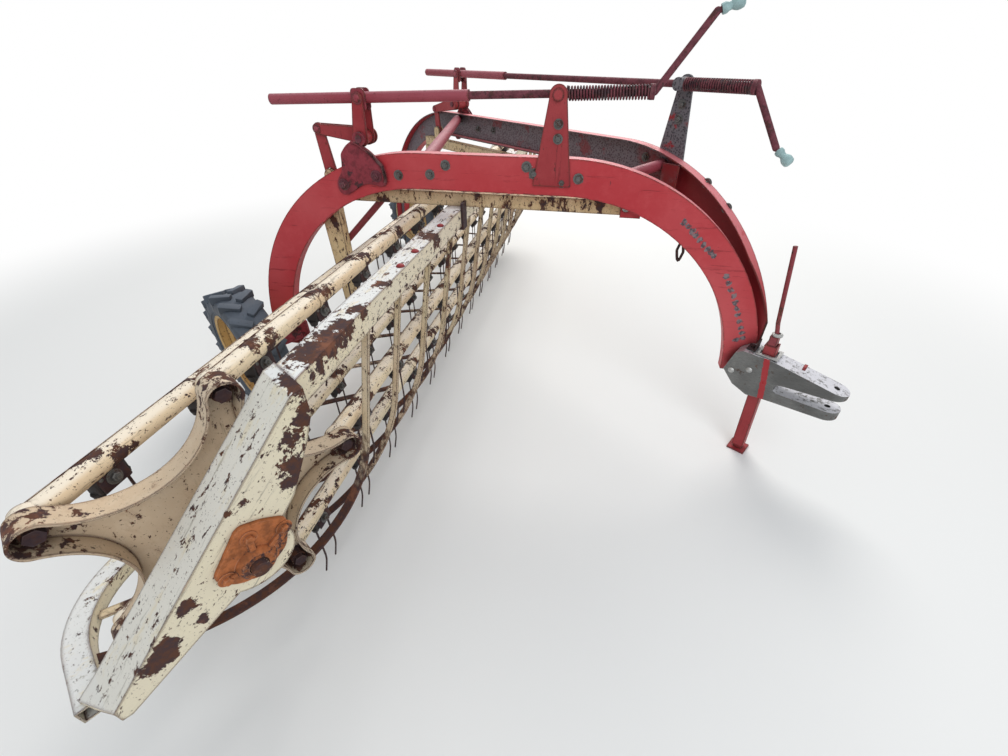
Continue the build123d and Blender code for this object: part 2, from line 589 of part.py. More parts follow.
def strip_face(tube_front):
    # The bar's edge-on outline in the plane across X, round the reel's axis
    wires = []
    for r, shift in ((STRIP_R, 0.0), (STRIP_R + STRIP_THICK, STRIP_THICK)):
        top = (STRIP_TOP_Y + shift, beam_bottom - REEL_Z)
        end = (tube_front, LOWER_Z - REEL_Z - shift)
        a0 = tangent_angle(top, r, -1)
        a1 = tangent_angle(end, r, 1)
        if a1 > 0:
            a1 -= 360
        wires.append((top, a0, a1, end, r))
    (t0, a0, a1, e0, r0), (t1, b0, b1, e1, r1) = wires
    inner = arc((0, 0), r0, a0, a1)
    outer = arc((0, 0), r1, b1, b0)
    return make_face([Line(t0, inner @ 0), inner, Line(inner @ 1, e0), Line(e0, e1), Line(e1, outer @ 0), outer, Line(outer @ 1, t1), Line(t1, t0)])


def strip(x, width):
    base = Plane(origin=(x - width / 2, reel_y(x), REEL_Z), x_dir=(0, 1, 0), z_dir=(1, 0, 0))
    return extrude(base * strip_face(tube_face_y(x) - reel_y(x)), width) - lower_solid


first_gap = TINE_FIRST_X + TINE_PITCH / 2
save(Compound([strip(first_gap + STRIP_SHIFT - i * TINE_PITCH, STRIP_WIDTH) for i in range(1, TINE_COUNT)]), "stripper_bars")
# The entry guide is the first of them, wider, just behind the front reel head
save(strip(first_gap, GUIDE_WIDTH), "entry_guide")

# Suspension arms, above the basket and just inboard of each rail
arm_top = BEAM_TOP + ARM_HEIGHT
arms = []
hangers = []
braces = []
for side in SIDES:
    s, z = arm_pivot(side)
    stop = side.hanger + 40
    face = make_face(Polyline([(s - 38, PIVOT_Z - 12), (s - 26, BEAM_TOP), (stop, BEAM_TOP), (stop, arm_top), (s - 10, arm_top), (s - 38, PIVOT_Z + 14)], close=True))
    arm = side.slab(face, ARM_INSET, ARM_INSET + ARM_WIDTH)
    hollow = Pos((s + 60 + stop - 4) / 2, BEAM_TOP + ARM_HEIGHT / 2) * Rectangle(stop - 4 - s - 60, ARM_HEIGHT - 2 * ARM_WALL)
    arm -= side.slab(hollow, ARM_INSET + ARM_WALL, ARM_INSET + ARM_WIDTH - ARM_WALL)
    bore_at = side.at(s, z, ARM_INSET + ARM_WIDTH / 2)
    arm -= rod(bore_at - Vector(0, 120, 0), bore_at + Vector(0, 120, 0), PIVOT_D / 2 + PIN_PLAY)
    # Lugs and pin for the lift strap
    ls, lz = side.lug
    ear = Pos(ls, (arm_top - 2 + lz) / 2) * Rectangle(52, lz - arm_top + 2) + Pos(ls, lz) * Circle(26)
    for near in (ARM_INSET + 2, ARM_INSET + ARM_WIDTH - 8):
        arm += side.slab(ear, near, near + 6)
    arm += side.slab(Pos(ls, lz) * Circle(9), ARM_INSET + 1, ARM_INSET + ARM_WIDTH - 1)
    arms.append(arm)
    # Hanger down to the rear lower tube
    foot = -12
    hang = make_face(Polyline([(side.hanger - 42, BEAM_TOP), (side.hanger + 42, BEAM_TOP), (side.hanger + 30 + foot, LOWER_Z + LOWER_HEIGHT / 2),
                               (side.hanger - 30 + foot, LOWER_Z + LOWER_HEIGHT / 2)], close=True))
    h = side.slab(hang, ARM_INSET - 4, ARM_INSET + ARM_WIDTH + 4)
    spine = make_face(Polyline([(side.hanger - 46, BEAM_TOP + 9), (side.hanger - 36, BEAM_TOP + 9), (side.hanger - 24 + foot, 300),
                                (side.hanger - 34 + foot, 300)], close=True))
    h -= side.slab(hang, ARM_INSET + 2, ARM_INSET + ARM_WIDTH - 2) - side.slab(spine, ARM_INSET, ARM_INSET + ARM_WIDTH)
    hangers.append(h)
save(Compound(arms), "suspension_arms")
save(Compound(hangers), "arm_hangers")

# Pivot pins for the arms
pins = []
for side, far_side in ((RIGHT, 1), (LEFT, -1)):
    s, z = arm_pivot(side)
    mid = side.at(s, z, ARM_INSET + ARM_WIDTH / 2)
    a = mid - Vector(0, far_side * 64, 0)
    b = mid + Vector(0, far_side * 50, 0)
    pin = rod(a, b, PIVOT_D / 2) - side.slab(Pos(s, z) * Rectangle(300, 300), -200, RAIL_WIDTH)
    pin += rod(b - Vector(0, far_side * 8, 0), b + Vector(0, far_side * 4, 0), 20)
    pins.append(pin)
save(Compound(pins), "arm_pivot_pins")

# Hooks that hold the main beam to the arms
hooks = []
for side, from_mid, to_mid, top in ((RIGHT, -70, -10, BEAM_TOP + 24), (LEFT, -100, -30, BEAM_TOP + 44)):
    start = side.at(0, 0, ARM_INSET)
    s_beam = (n1 - (start.X * ACROSS.X + start.Y * ACROSS.Y)) / (side.run.X * ACROSS.X + side.run.Y * ACROSS.Y)
    mid = side.at(s_beam, 0, ARM_INSET + ARM_WIDTH / 2)
    b_mid = mid.X * ALONG.X + mid.Y * ALONG.Y
    hook = beam_box(n1, n1 + 10, b_mid + from_mid, b_mid + to_mid, beam_bottom - 14, top)
    hook += beam_box(n0 + 20, n1 + 1, b_mid + from_mid, b_mid + from_mid + 40, beam_bottom - 14, beam_bottom)
    hook -= side.slab(Pos(s_beam, BEAM_TOP) * Rectangle(900, 900), ARM_INSET, ARM_INSET + ARM_WIDTH)
    hooks.append(hook)
save(Compound(hooks), "beam_hooks")

# Diagonal brace tube from the right hanger up to the arm
p = RIGHT.at(1772, 768, ARM_INSET + ARM_WIDTH + 16)
q = RIGHT.at(1560, BEAM_TOP - 4, ARM_INSET + ARM_WIDTH + 16)
brace = rod(p, q, 14)
brace += rod(p, RIGHT.at(1772, 768, ARM_INSET + ARM_WIDTH + 4), 11)
brace -= RIGHT.slab(Pos(1772, 768) * Rectangle(900, 900), 0, ARM_INSET + ARM_WIDTH + 4)
brace += rod(RIGHT.at(1568, BEAM_TOP + 6, ARM_INSET + ARM_WIDTH + 20), RIGHT.at(1568, BEAM_TOP + 6, ARM_INSET + ARM_WIDTH), 12)
save(brace, "brace_tube")

# Lift gear on each side: post, screw with crank, lift tube, bell crank and strap
posts = []
screws = []
springs = []
knobs = []
brackets = []
for side, name in ((RIGHT, "right"), (LEFT, "left")):
    ps, pz = side.post
    ts, tz = side.top_pin
    grade = (tz - pz) / (ts - ps)

    def axis_at(s):
        return side.at(s, pz + (s - ps) * grade, LIFT_INSET)

    # Post on the web's outer face, with the trunnion block that carries the screw
    base_z = rail_height(side, ps) - RAIL_DEPTH + 34
    post = make_face(Polyline([(ps - 62, base_z), (ps + 76, base_z), (ps + 29, pz), (ps - 29, pz)], close=True)) + Pos(ps, pz) * Circle(30)
    body = side.slab(post, -9, 0)
    body += side.slab(Pos(ps, pz) * Circle(17), -20, LIFT_INSET - SCREW_D / 2 - 4)
    body += side.slab(Pos(ps, pz) * Circle(22), LIFT_INSET - 22, LIFT_INSET + 22)
    body -= rod(axis_at(ps - 100), axis_at(ps + 100), SCREW_D / 2 + 0.1)
    posts.append(body)
    # Screw, from inside the lift tube through the trunnion and the float spring to the crank
    if side is RIGHT:
        end, throw, grip = 520, (378, 1572), (328, 1590)
    else:
        end, throw, grip = 236, (112, 1212), (64, 1180)
    screw = rod(axis_at(end), axis_at(side.tube[0] + 190), SCREW_D / 2)
    screw += rod(axis_at(end - 4), axis_at(end + 8), SPRING_OD / 2)
    elbow = axis_at(end - 4)
    far_p = side.at(throw[0], throw[1], LIFT_INSET)
    screw += rod(elbow, far_p, CRANK_D / 2) + Pos(*elbow) * Sphere(CRANK_D / 2)
    grip_p = side.at(grip[0], grip[1], LIFT_INSET)
    screw += rod(far_p, far_p + (grip_p - far_p) * 0.5, 8) + Pos(*far_p) * Sphere(CRANK_D / 2)
    screws.append(screw)
    knobs.append(rod(far_p + (grip_p - far_p).normalized() * 12, far_p + (grip_p - far_p).normalized() * (12 + KNOB_LENGTH), KNOB_D / 2, 8.1))
    springs.append(rod(axis_at(end + 8.3), axis_at(ps - 22.5), SPRING_OD / 2, SCREW_D / 2 + 1))
    # Lift tube with fork ears that hang over the bell crank's studs
    front, back_end = side.tube
    tube = rod(axis_at(front), axis_at(back_end), LIFT_TUBE_OD / 2)
    ear = Pos(ts, tz - 5) * RectangleRounded(52, 70, 12) - Pos(ts, tz - 30) * Rectangle(24, 60) - Pos(ts, tz) * Circle(12)
    for near in (LIFT_INSET - LIFT_TUBE_OD / 2 - 5, LIFT_INSET + LIFT_TUBE_OD / 2 - 1):
        tube += side.slab(ear, near, near + 6)
    tube -= rod(axis_at(front - 20), axis_at(front + 320), SCREW_D / 2 + 0.3)
    save(tube, name + "_lift_tube")
    # Bell crank on its pivot pin
    vs, vz = side.pivot
    rs, rz = side.rear_pin
    near = LIFT_INSET - LIFT_TUBE_OD / 2 - 14
    far_in = LIFT_INSET + LIFT_TUBE_OD / 2 + 8
    up = make_hull([Pos(vs, vz) * Circle(30).edges()[0], Pos(ts, tz) * Circle(20).edges()[0]])
    rearward = make_hull([Pos(vs, vz) * Circle(30).edges()[0], Pos(rs, rz) * Circle(18).edges()[0]])
    crank = side.slab(up, near, near + PLATE_THICK)
    crank += side.slab(up + rearward, far_in, far_in + PLATE_THICK)
    strap_far = STRAP_INSET + STRAP_THICK + 6
    crank += side.slab(rearward, strap_far, strap_far + PLATE_THICK)
    crank += side.slab(Pos(vs, vz) * Circle(24), near, strap_far + PLATE_THICK)
    crank += side.slab(Pos(ts, tz) * Circle(8), near, LIFT_INSET - LIFT_TUBE_OD / 2 - 0.5)
    crank += side.slab(Pos(ts, tz) * Circle(8), LIFT_INSET + LIFT_TUBE_OD / 2 + 0.5, far_in + 2)
    crank += side.slab(Pos(rs, rz) * Circle(9), far_in, strap_far + PLATE_THICK)
    crank -= side.slab(Pos(vs, vz) * Circle(12.5 + PIN_PLAY), near - 10, strap_far + 20)
    save(crank, name + "_bell_crank")
    # Strap from the bell crank down to the arm, slotted at its foot
    ls, lz = side.lug
    strap = make_hull([Pos(rs, rz) * Circle(21).edges()[0], Pos(ls, lz + 16) * Circle(25).edges()[0], Pos(ls, lz - 6) * Circle(25).edges()[0]])
    strap -= Pos(rs, rz) * Circle(9 + PIN_PLAY)
    strap -= make_hull([Pos(ls, lz + 12) * Circle(16).edges()[0], Pos(ls, lz) * Circle(16).edges()[0]])
    save(side.slab(strap, STRAP_INSET, STRAP_INSET + STRAP_THICK), name + "_lift_strap")
    # Cast bracket on the web with the bell crank's pivot pin
    top_z = rail_height(side, vs)
    cast = make_hull([Pos(vs, vz) * Circle(28).edges()[0], Pos(vs - 58, top_z - 72) * Circle(22).edges()[0], Pos(vs + 104, top_z - 98) * Circle(22).edges()[0],
                      Pos(vs + 76, top_z + 4) * Circle(24).edges()[0]])
    body = side.slab(cast, -12, 0)
    body += side.slab(Pos(vs, vz) * Circle(12.5), -18, strap_far + PLATE_THICK + 8)
    body += side.slab(Pos(vs, vz) * Circle(20), 0, near - 0.4)
    brackets.append(body)
save(Compound(posts), "lift_posts")
save(Compound(screws), "lift_screws")
save(Compound(springs), "float_springs")
save(Compound(knobs), "crank_grips")
save(Compound(brackets), "lift_brackets")
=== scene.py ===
# Looks of a side delivery rake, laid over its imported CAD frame. Metres; +X forward, +Y left, +Z up.
from math import cos, pi, radians, sin, sqrt

import bmesh
import bpy
from mathutils import Matrix, Vector


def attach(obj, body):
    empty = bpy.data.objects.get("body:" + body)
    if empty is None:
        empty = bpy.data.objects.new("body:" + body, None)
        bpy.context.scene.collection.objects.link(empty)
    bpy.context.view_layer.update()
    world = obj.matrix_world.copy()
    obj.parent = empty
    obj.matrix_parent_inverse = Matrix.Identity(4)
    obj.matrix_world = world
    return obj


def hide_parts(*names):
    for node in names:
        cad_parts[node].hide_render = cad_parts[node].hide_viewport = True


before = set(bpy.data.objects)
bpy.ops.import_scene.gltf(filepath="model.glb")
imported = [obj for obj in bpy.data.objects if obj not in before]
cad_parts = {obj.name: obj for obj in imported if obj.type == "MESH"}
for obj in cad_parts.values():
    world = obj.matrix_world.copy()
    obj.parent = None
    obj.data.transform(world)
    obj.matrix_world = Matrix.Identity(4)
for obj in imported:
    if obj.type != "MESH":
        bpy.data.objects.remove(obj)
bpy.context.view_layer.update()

bl_info = {
    "name": "Side delivery rake",
    "version": (1, 0, 0),
    "blender": (4, 5, 0),
    "location": "View3D > Sidebar > Rake",
    "description": "Finish, tines, tyres, springs and bolts of a side delivery rake",
    "category": "Object",
}


# Places in the frame
FORWARD = Vector((1.0, 0.0, 0.0))
LEFTWARD = Vector((0.0, 1.0, 0.0))
UP = Vector((0.0, 0.0, 1.0))


def seat(place, x_dir, z_dir):
    # A place to model at: x_dir runs along, z_dir stands off the surface
    z_dir = Vector(z_dir).normalized()
    x_dir = Vector(x_dir)
    x_dir = (x_dir - z_dir * x_dir.dot(z_dir)).normalized()
    axes = Matrix((x_dir, z_dir.cross(x_dir), z_dir)).transposed().to_4x4()
    return Matrix.Translation(place) @ axes


def seat_on(place, z_dir):
    z_dir = Vector(z_dir).normalized()
    return seat(place, UP if abs(z_dir.z) < 0.9 else FORWARD, z_dir)


def shifted(place, x, y, z):
    return place @ Matrix.Translation((x, y, z))


# How far off a line starts that looks for a surface
PROBE = 0.3


def found(node, origin, direction):
    # The seat where a line from the origin meets a piece of the frame
    hit, place, normal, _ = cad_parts[node].ray_cast(Vector(origin), Vector(direction).normalized())
    if not hit:
        raise RuntimeError("no surface of %s at %s" % (node, tuple(round(c, 3) for c in origin)))
    return seat_on(place, normal)


class Rail:
    """One side's rail and lift. s runs rearward from the hitch, z up, and inset inboard from the web's outer face."""

    def __init__(self, start, turn, inboard, post, top_pin, pivot, rear_pin, spring_end):
        angle = radians(turn)
        self.start = Vector((*start, 0.0))
        self.run = Vector((-cos(angle), -sin(angle), 0.0))
        self.inward = Vector((-sin(angle), cos(angle), 0.0)) * inboard
        self.post, self.top_pin, self.pivot, self.rear_pin = post, top_pin, pivot, rear_pin
        self.spring_end = spring_end

    def at(self, s, z, inset=0.0):
        return self.start + self.run * s + self.inward * inset + UP * z

    def out(self, s, z, inset=0.0):
        # A seat on the web's outer face, where z stands off away from the machine
        return seat(self.at(s, z, inset), UP, -self.inward)

    def screw(self, s):
        # The lift screw's own line, which falls towards the rear
        grade = (self.top_pin[1] - self.post[1]) / (self.top_pin[0] - self.post[0])
        return self.at(s, self.post[1] + (s - self.post[0]) * grade, SCREW_INSET)

    def plate(self, bm, outline, inset, thick, bevel):
        # A plate cut to (s, z) points, from inset inboard by thick
        slab(bm, [self.at(s, z, inset) for s, z in outline], self.inward * thick, bevel)

    def pin(self, bm, place, near, far, radius, sides):
        rod(bm, self.at(*place, near), self.at(*place, far), radius, sides)


SCREW_INSET = 0.034
RIGHT = Rail((1.412, 0.3797), 32.3, 1, post=(0.824, 1.362), top_pin=(1.547, 1.341), pivot=(1.560, 1.212),
             rear_pin=(1.766, 1.232), spring_end=0.520)
LEFT = Rail((1.412, 0.4247), -7.1, -1, post=(0.522, 1.378), top_pin=(1.957, 1.370), pivot=(1.970, 1.222),
            rear_pin=(2.174, 1.184), spring_end=0.236)
SIDES = (("right", RIGHT), ("left", LEFT))

SWEEP = radians(31.8)
ALONG = Vector((-sin(SWEEP), cos(SWEEP), 0.0))
ACROSS = Vector((cos(SWEEP), sin(SWEEP), 0.0))
FRONT_HEAD = Vector((0.845, -1.4253, 0.635))
REAR_HEAD = Vector((-0.96665, 1.46434, 0.635))
REEL_R = 0.305
FIRST_TIP = 18.2
BARS = 5
BAR_R = 0.024
BAR_START = 0.010
MOUNTS = 13
MOUNT_PITCH = 0.1385
FIRST_MOUNT = 0.079


def tip(k):
    angle = radians(FIRST_TIP + 360.0 / BARS * k)
    return Vector((0.0, REEL_R * sin(angle), REEL_R * cos(angle)))


def bar_place(k, behind):
    # On the axis of bar k, behind the front reel head's plane by that much along X
    return FRONT_HEAD + tip(k) - FORWARD * BAR_START + ALONG * ((behind - BAR_START) / sin(SWEEP))


# Shapes, each added to one bmesh
WASHER = 0.0025
SHARP = radians(32.0)


def moved_part(grown):
    return [g for g in grown if isinstance(g, bmesh.types.BMVert)]


def disc(bm, place, radius, height, sides, top=None, lift=0.0):
    # Stands on the seat's z, and narrows or widens to the top's radius
    return bmesh.ops.create_cone(
        bm, cap_ends=True, cap_tris=False, segments=sides, radius1=radius, radius2=radius if top is None else top,
        depth=height, matrix=shifted(place, 0.0, 0.0, lift + height / 2))["verts"]


def rod(bm, start, stop, radius, sides):
    start, stop = Vector(start), Vector(stop)
    return disc(bm, seat_on(start, stop - start), radius, (stop - start).length, sides)


def soften(bm, edges, width):
    bmesh.ops.bevel(bm, geom=edges, offset=width, segments=2, profile=0.5, affect="EDGES", material=-1)


def brick(bm, place, size, bevel, shift=(0.0, 0.0, 0.0)):
    matrix = shifted(place, *shift) @ Matrix.Diagonal((*size, 1.0))
    made = bmesh.ops.create_cube(bm, size=1.0, matrix=matrix)["verts"]
    soften(bm, list({e for v in made for e in v.link_edges}), bevel)


def turned(bm, place, outline, steps):
    # Spins (radius, height) points round the seat's z
    others = set(bm.verts)
    verts = [bm.verts.new((r, 0.0, h)) for r, h in outline]
    edges = [bm.edges.new(pair) for pair in zip(verts, verts[1:])]
    bmesh.ops.spin(bm, geom=verts + edges, cent=(0, 0, 0), axis=(0, 0, 1), dvec=(0, 0, 0), angle=2 * pi,
                   steps=steps, use_merge=True)
    bmesh.ops.remove_doubles(bm, verts=[v for v in bm.verts if v not in others], dist=1e-6)
    bmesh.ops.transform(bm, matrix=place, verts=[v for v in bm.verts if v not in others])


def slab(bm, corners, step, bevel):
    # A flat face through the corners, thickened by step, its far rim softened
    face = bm.faces.new([bm.verts.new(c) for c in corners])
    moved = moved_part(bmesh.ops.extrude_face_region(bm, geom=[face], use_keep_orig=True)["geom"])
    bmesh.ops.translate(bm, vec=step, verts=moved)
    edges = {e for v in moved for e in v.link_edges}
    soften(bm, [e for e in edges if all(v in moved for v in e.verts)], bevel)


def rounded(points, radius):
    # The outline with every corner rounded in three steps
    steps = 3
    out = []
    for i, here in enumerate(points):
        here = Vector(here)
        into = Vector(points[i - 1]) - here
        onward = Vector(points[(i + 1) % len(points)]) - here
        reach = min(radius, 0.45 * into.length, 0.45 * onward.length)
        for n in range(steps + 1):
            t = n / steps
            out.append(here + into.normalized() * (reach * (1 - t) ** 2) + onward.normalized() * (reach * t ** 2))
    return out


def wire(bm, points, radius, sides=6):
    # A round wire through the points, its ends closed
    points = [Vector(p) for p in points]
    steps = [b - a for a, b in zip(points, points[1:])]
    lean = steps[0].normalized()
    end = bmesh.ops.create_circle(bm, cap_ends=True, segments=sides, radius=radius, matrix=seat_on(points[0], lean))
    face = end["verts"][0].link_faces[0]
    for i, step in enumerate(steps):
        grown = bmesh.ops.extrude_face_region(bm, geom=[face], use_keep_orig=i == 0)["geom"]
        moved = moved_part(grown)
        face = next(g for g in grown if isinstance(g, bmesh.types.BMFace))
        bmesh.ops.translate(bm, vec=step, verts=moved)
        onward = (step.normalized() + steps[min(i + 1, len(steps) - 1)].normalized()).normalized()
        swing = lean.rotation_difference(onward).to_matrix()
        bmesh.ops.rotate(bm, cent=points[i + 1], matrix=swing, verts=moved)
        lean = onward


def bend(start, corner, stop, radius, steps):
    # Points of a line that turns smoothly at its corner
    corner = Vector(corner)
    into = (Vector(start) - corner).normalized() * radius
    onward = (Vector(stop) - corner).normalized() * radius
    turn = [corner + into * (1 - n / steps) ** 2 + onward * (n / steps) ** 2 for n in range(steps + 1)]
    return [Vector(start)] + turn + [Vector(stop)]


def bead(bm, place, radius, thick, steps):
    # A bead round the seat's z
    turned(bm, place, [(radius + thick * cos(a), thick * sin(a)) for a in (n * pi / 3 for n in range(7))], steps)


def hex_bolt(bm, place, flats, stub=0.0):
    # A head of that size across its flats on a washer, with the bolt's end where a nut is meant
    corner = flats / sqrt(3.0)
    disc(bm, place, flats * 0.98, WASHER, 20)
    disc(bm, place, corner, flats * 0.42, 6, lift=WASHER)
    disc(bm, place, corner, flats * 0.12, 6, top=flats * 0.5, lift=WASHER + flats * 0.42)
    if stub:
        disc(bm, place, flats * 0.3, stub, 10, lift=WASHER + flats * 0.5)


def dome_bolt(bm, place, radius, height):
    outline = ((0.0, 1.0), (0.45, 0.93), (0.8, 0.62), (1.0, 0.2), (1.0, 0.0), (0.0, 0.0))
    turned(bm, place, [(radius * r, height * h) for r, h in outline], 14)


def keep(bm, name, finish, body, replaced=()):
    # Makes the bmesh a piece of the rake that moves with that body
    bmesh.ops.recalc_face_normals(bm, faces=bm.faces)
    mesh = bpy.data.meshes.new(name)
    bm.to_mesh(mesh)
    bm.free()
    mesh.shade_smooth()
    mesh.set_sharp_from_angle(angle=SHARP)
    mesh.materials.append(FINISHES[finish])
    piece = bpy.data.objects.new(name, mesh)
    bpy.context.scene.collection.objects.link(piece)
    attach(piece, body)
    if replaced:
        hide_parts(*replaced)


class RakeColours(bpy.types.PropertyGroup):
    """Paints and metals of the rake."""
    rail_red: bpy.props.FloatVectorProperty(
        name="Rail red", description="Sun-faded red of the two rails", subtype="COLOR", size=3,
        default=(0.45, 0.027, 0.036))
    faded_red: bpy.props.FloatVectorProperty(
        name="Faded red", description="Chalky pink that the red fades to", subtype="COLOR", size=3,
        default=(0.53, 0.078, 0.085))
    cream: bpy.props.FloatVectorProperty(
        name="Cream", description="Paint of the basket and the tine bars", subtype="COLOR", size=3,
        default=(0.74, 0.66, 0.50))
    rust: bpy.props.FloatVectorProperty(
        name="Rust", description="Bright surface rust", subtype="COLOR", size=3,
        default=(0.20, 0.075, 0.040))
    old_rust: bpy.props.FloatVectorProperty(
        name="Old rust", description="Dark rust where paint has long gone", subtype="COLOR", size=3,
        default=(0.050, 0.027, 0.028))
    steel: bpy.props.FloatVectorProperty(
        name="Bare steel", description="Weathered bare steel of the hitch", subtype="COLOR", size=3,
        default=(0.33, 0.33, 0.32))
    tyre: bpy.props.FloatVectorProperty(
        name="Tyre", description="Dusty rubber of the tyres", subtype="COLOR", size=3,
        default=(0.045, 0.054, 0.068))


class RakeSizes(bpy.types.PropertyGroup):
    """Sizes of the pieces that are added to the frame."""
    bolt_size: bpy.props.FloatProperty(
        name="Bolt", description="Across the flats of a common bolt head", subtype="DISTANCE", unit="LENGTH",
        default=0.019, min=0.008, max=0.04)
    spring_wire: bpy.props.FloatProperty(
        name="Spring wire", description="Radius of the float springs' wire", subtype="DISTANCE", unit="LENGTH",
        default=0.0034, min=0.002, max=0.006)
    spring_turns: bpy.props.IntProperty(
        name="Spring turns", description="Coils in each float spring", default=27, min=5, max=60)
    tine_wire: bpy.props.FloatProperty(
        name="Tine wire", description="Radius of a tine's wire", subtype="DISTANCE", unit="LENGTH",
        default=0.0032, min=0.002, max=0.006)
    lug_height: bpy.props.FloatProperty(
        name="Lug height", description="How far a tyre's lugs stand off its carcass", subtype="DISTANCE",
        unit="LENGTH", default=0.021, min=0.005, max=0.04)
    lugs: bpy.props.IntProperty(
        name="Lugs", description="Lugs on each half of a tyre", default=19, min=8, max=30)
    lens: bpy.props.FloatProperty(
        name="Lens", description="Focal length on a 36 mm sensor", unit="CAMERA", default=15.89, min=10, max=60)


class Nodes:
    """One node tree, built from left to right."""

    def __init__(self, tree):
        self.tree = tree
        tree.nodes.clear()

    def node(self, kind, inputs=None, **settings):
        # Adds a node and sets its inputs to values or to other nodes' outputs
        made = self.tree.nodes.new(kind)
        for key, value in settings.items():
            setattr(made, key, value)
        for key, value in (inputs or {}).items():
            self.join(value, made.inputs[key])
        return made

    def join(self, value, socket):
        if isinstance(value, bpy.types.NodeSocket):
            self.tree.links.new(value, socket)
        elif socket.type == "RGBA":
            socket.default_value = (*value, 1.0)
        else:
            socket.default_value = value

    def maths(self, operation, a, b=0.0):
        return self.node("ShaderNodeMath", {0: a, 1: b}, operation=operation).outputs[0]

    def times(self, a, b):
        return self.maths("MULTIPLY", a, b)

    def plus(self, a, b):
        return self.maths("ADD", a, b)

    def minus(self, a, b):
        return self.maths("SUBTRACT", a, b)

    def most(self, *values):
        out = values[0]
        for value in values[1:]:
            out = self.maths("MAXIMUM", out, value)
        return out

    def either(self, factor, first, second):
        # The first shader where the factor is 0, the second where it is 1
        return self.node("ShaderNodeMixShader", {"Fac": factor, 1: first, 2: second}).outputs["Shader"]


class Finish(Nodes):
    """The node tree of one finish, which reads object coordinates."""

    def __init__(self, name):
        self.material = bpy.data.materials.new(name)
        self.material.use_nodes = True
        super().__init__(self.material.node_tree)
        self.coordinates = self.node("ShaderNodeTexCoord").outputs["Object"]

    def noise(self, scale, detail, roughness=0.55, distortion=0.0, vector=None):
        return self.node("ShaderNodeTexNoise", {
            "Vector": vector or self.coordinates, "Scale": scale, "Detail": detail, "Roughness": roughness,
            "Distortion": distortion}).outputs["Fac"]

    def step(self, value, low, high, bottom=0.0, top=1.0):
        # Turns smoothly from bottom to top while the value goes from low to high
        return self.node("ShaderNodeMapRange", {
            "Value": value, "From Min": low, "From Max": high, "To Min": bottom, "To Max": top},
            interpolation_type="SMOOTHSTEP").outputs["Result"]

    def mottle(self, noise, low, high, bottom=0.0, top=1.0, grain=None):
        # Patches of noise. grain is a direction and how far the patches are drawn out along it
        vector = self.grained(*grain) if grain else None
        return self.step(self.noise(*noise, vector=vector), low, high, bottom, top)

    def cells(self, scale, low, high, bottom=0.0, top=1.0):
        made = self.node("ShaderNodeTexVoronoi", {"Vector": self.coordinates, "Scale": scale})
        return self.step(made.outputs["Distance"], low, high, bottom, top)

    def mix(self, factor, a, b):
        return self.node("ShaderNodeMix", {"Factor": factor, 6: a, 7: b}, data_type="RGBA").outputs[2]

    def blend(self, factor, a, b):
        return self.node("ShaderNodeMix", {"Factor": factor, 2: a, 3: b}, data_type="FLOAT").outputs[0]

    def vector(self, operation, inputs, output="Vector"):
        return self.node("ShaderNodeVectorMath", inputs, operation=operation).outputs[output]

    def along(self, direction, vector=None):
        # How far a point lies along the direction
        return self.vector("DOT_PRODUCT", {0: vector or self.coordinates, 1: direction}, "Value")

    def grained(self, direction, stretch):
        # Coordinates drawn out along the direction
        part = self.times(self.along(direction), 1.0 - 1.0 / stretch)
        return self.vector("SUBTRACT", {0: self.coordinates, 1: self.vector("SCALE", {0: direction, "Scale": part})})

    def facing(self, direction):
        # 1 where the surface faces the direction, 0 at right angles to it
        return self.along(direction, self.node("ShaderNodeNewGeometry").outputs["Normal"])

    def spots(self, places, radius, ragged, scale):
        # 1 within the radius of any of the places, or within a place's own, its fourth number, with a torn rim
        nearest = None
        for x, y, z, *own in places:
            span = self.vector("DISTANCE", {0: self.coordinates, 1: (x, y, z)}, "Value")
            if own:
                span = self.times(span, radius / own[0])
            nearest = span if nearest is None else self.maths("MINIMUM", nearest, span)
        torn = self.times(self.minus(self.noise(scale, 7.0, 0.7), 0.5), ragged * 4)
        return self.step(self.plus(nearest, torn), radius, radius * 0.85)

    def edges(self, radius):
        # 1 on corners that stand out, by how far a rounded normal leaves the true one
        rounder = self.node("ShaderNodeBevel", {"Radius": radius}, samples=4).outputs["Normal"]
        true_normal = self.node("ShaderNodeNewGeometry").outputs["True Normal"]
        return self.step(self.minus(1.0, self.along(true_normal, rounder)), 0.02, 0.20)

    def corners(self, distance, strength):
        # Up to the strength in corners and gaps, from ambient occlusion: the mask of painted shade
        made = self.node("ShaderNodeAmbientOcclusion", {"Distance": distance}, samples=4)
        return self.times(self.step(made.outputs["AO"], 0.75, 0.25), strength)

    def end(self, colour, roughness, height, metallic, depth, strength):
        # height and depth are of the surface's small bumps
        bump = self.node("ShaderNodeBump", {"Distance": depth, "Strength": strength, "Height": height})
        shader = self.node("ShaderNodeBsdfPrincipled", {
            "Base Color": colour, "Roughness": roughness, "Metallic": metallic, "Specular IOR Level": 0.35,
            "Normal": bump.outputs["Normal"]})
        self.node("ShaderNodeOutputMaterial", {"Surface": shader.outputs["BSDF"]})
        return self.material


def shade(colour, factor, add=0.0):
    return tuple(min(c * factor + add, 1.0) for c in colour)


def rust_colour(f, colours):
    dark = f.mix(f.mottle((48.0, 7.0, 0.7), 0.40, 0.62), colours.old_rust, shade(colours.rust, 0.45))
    return f.mix(f.mottle((15.0, 7.0, 0.7), 0.54, 0.70), dark, colours.rust)


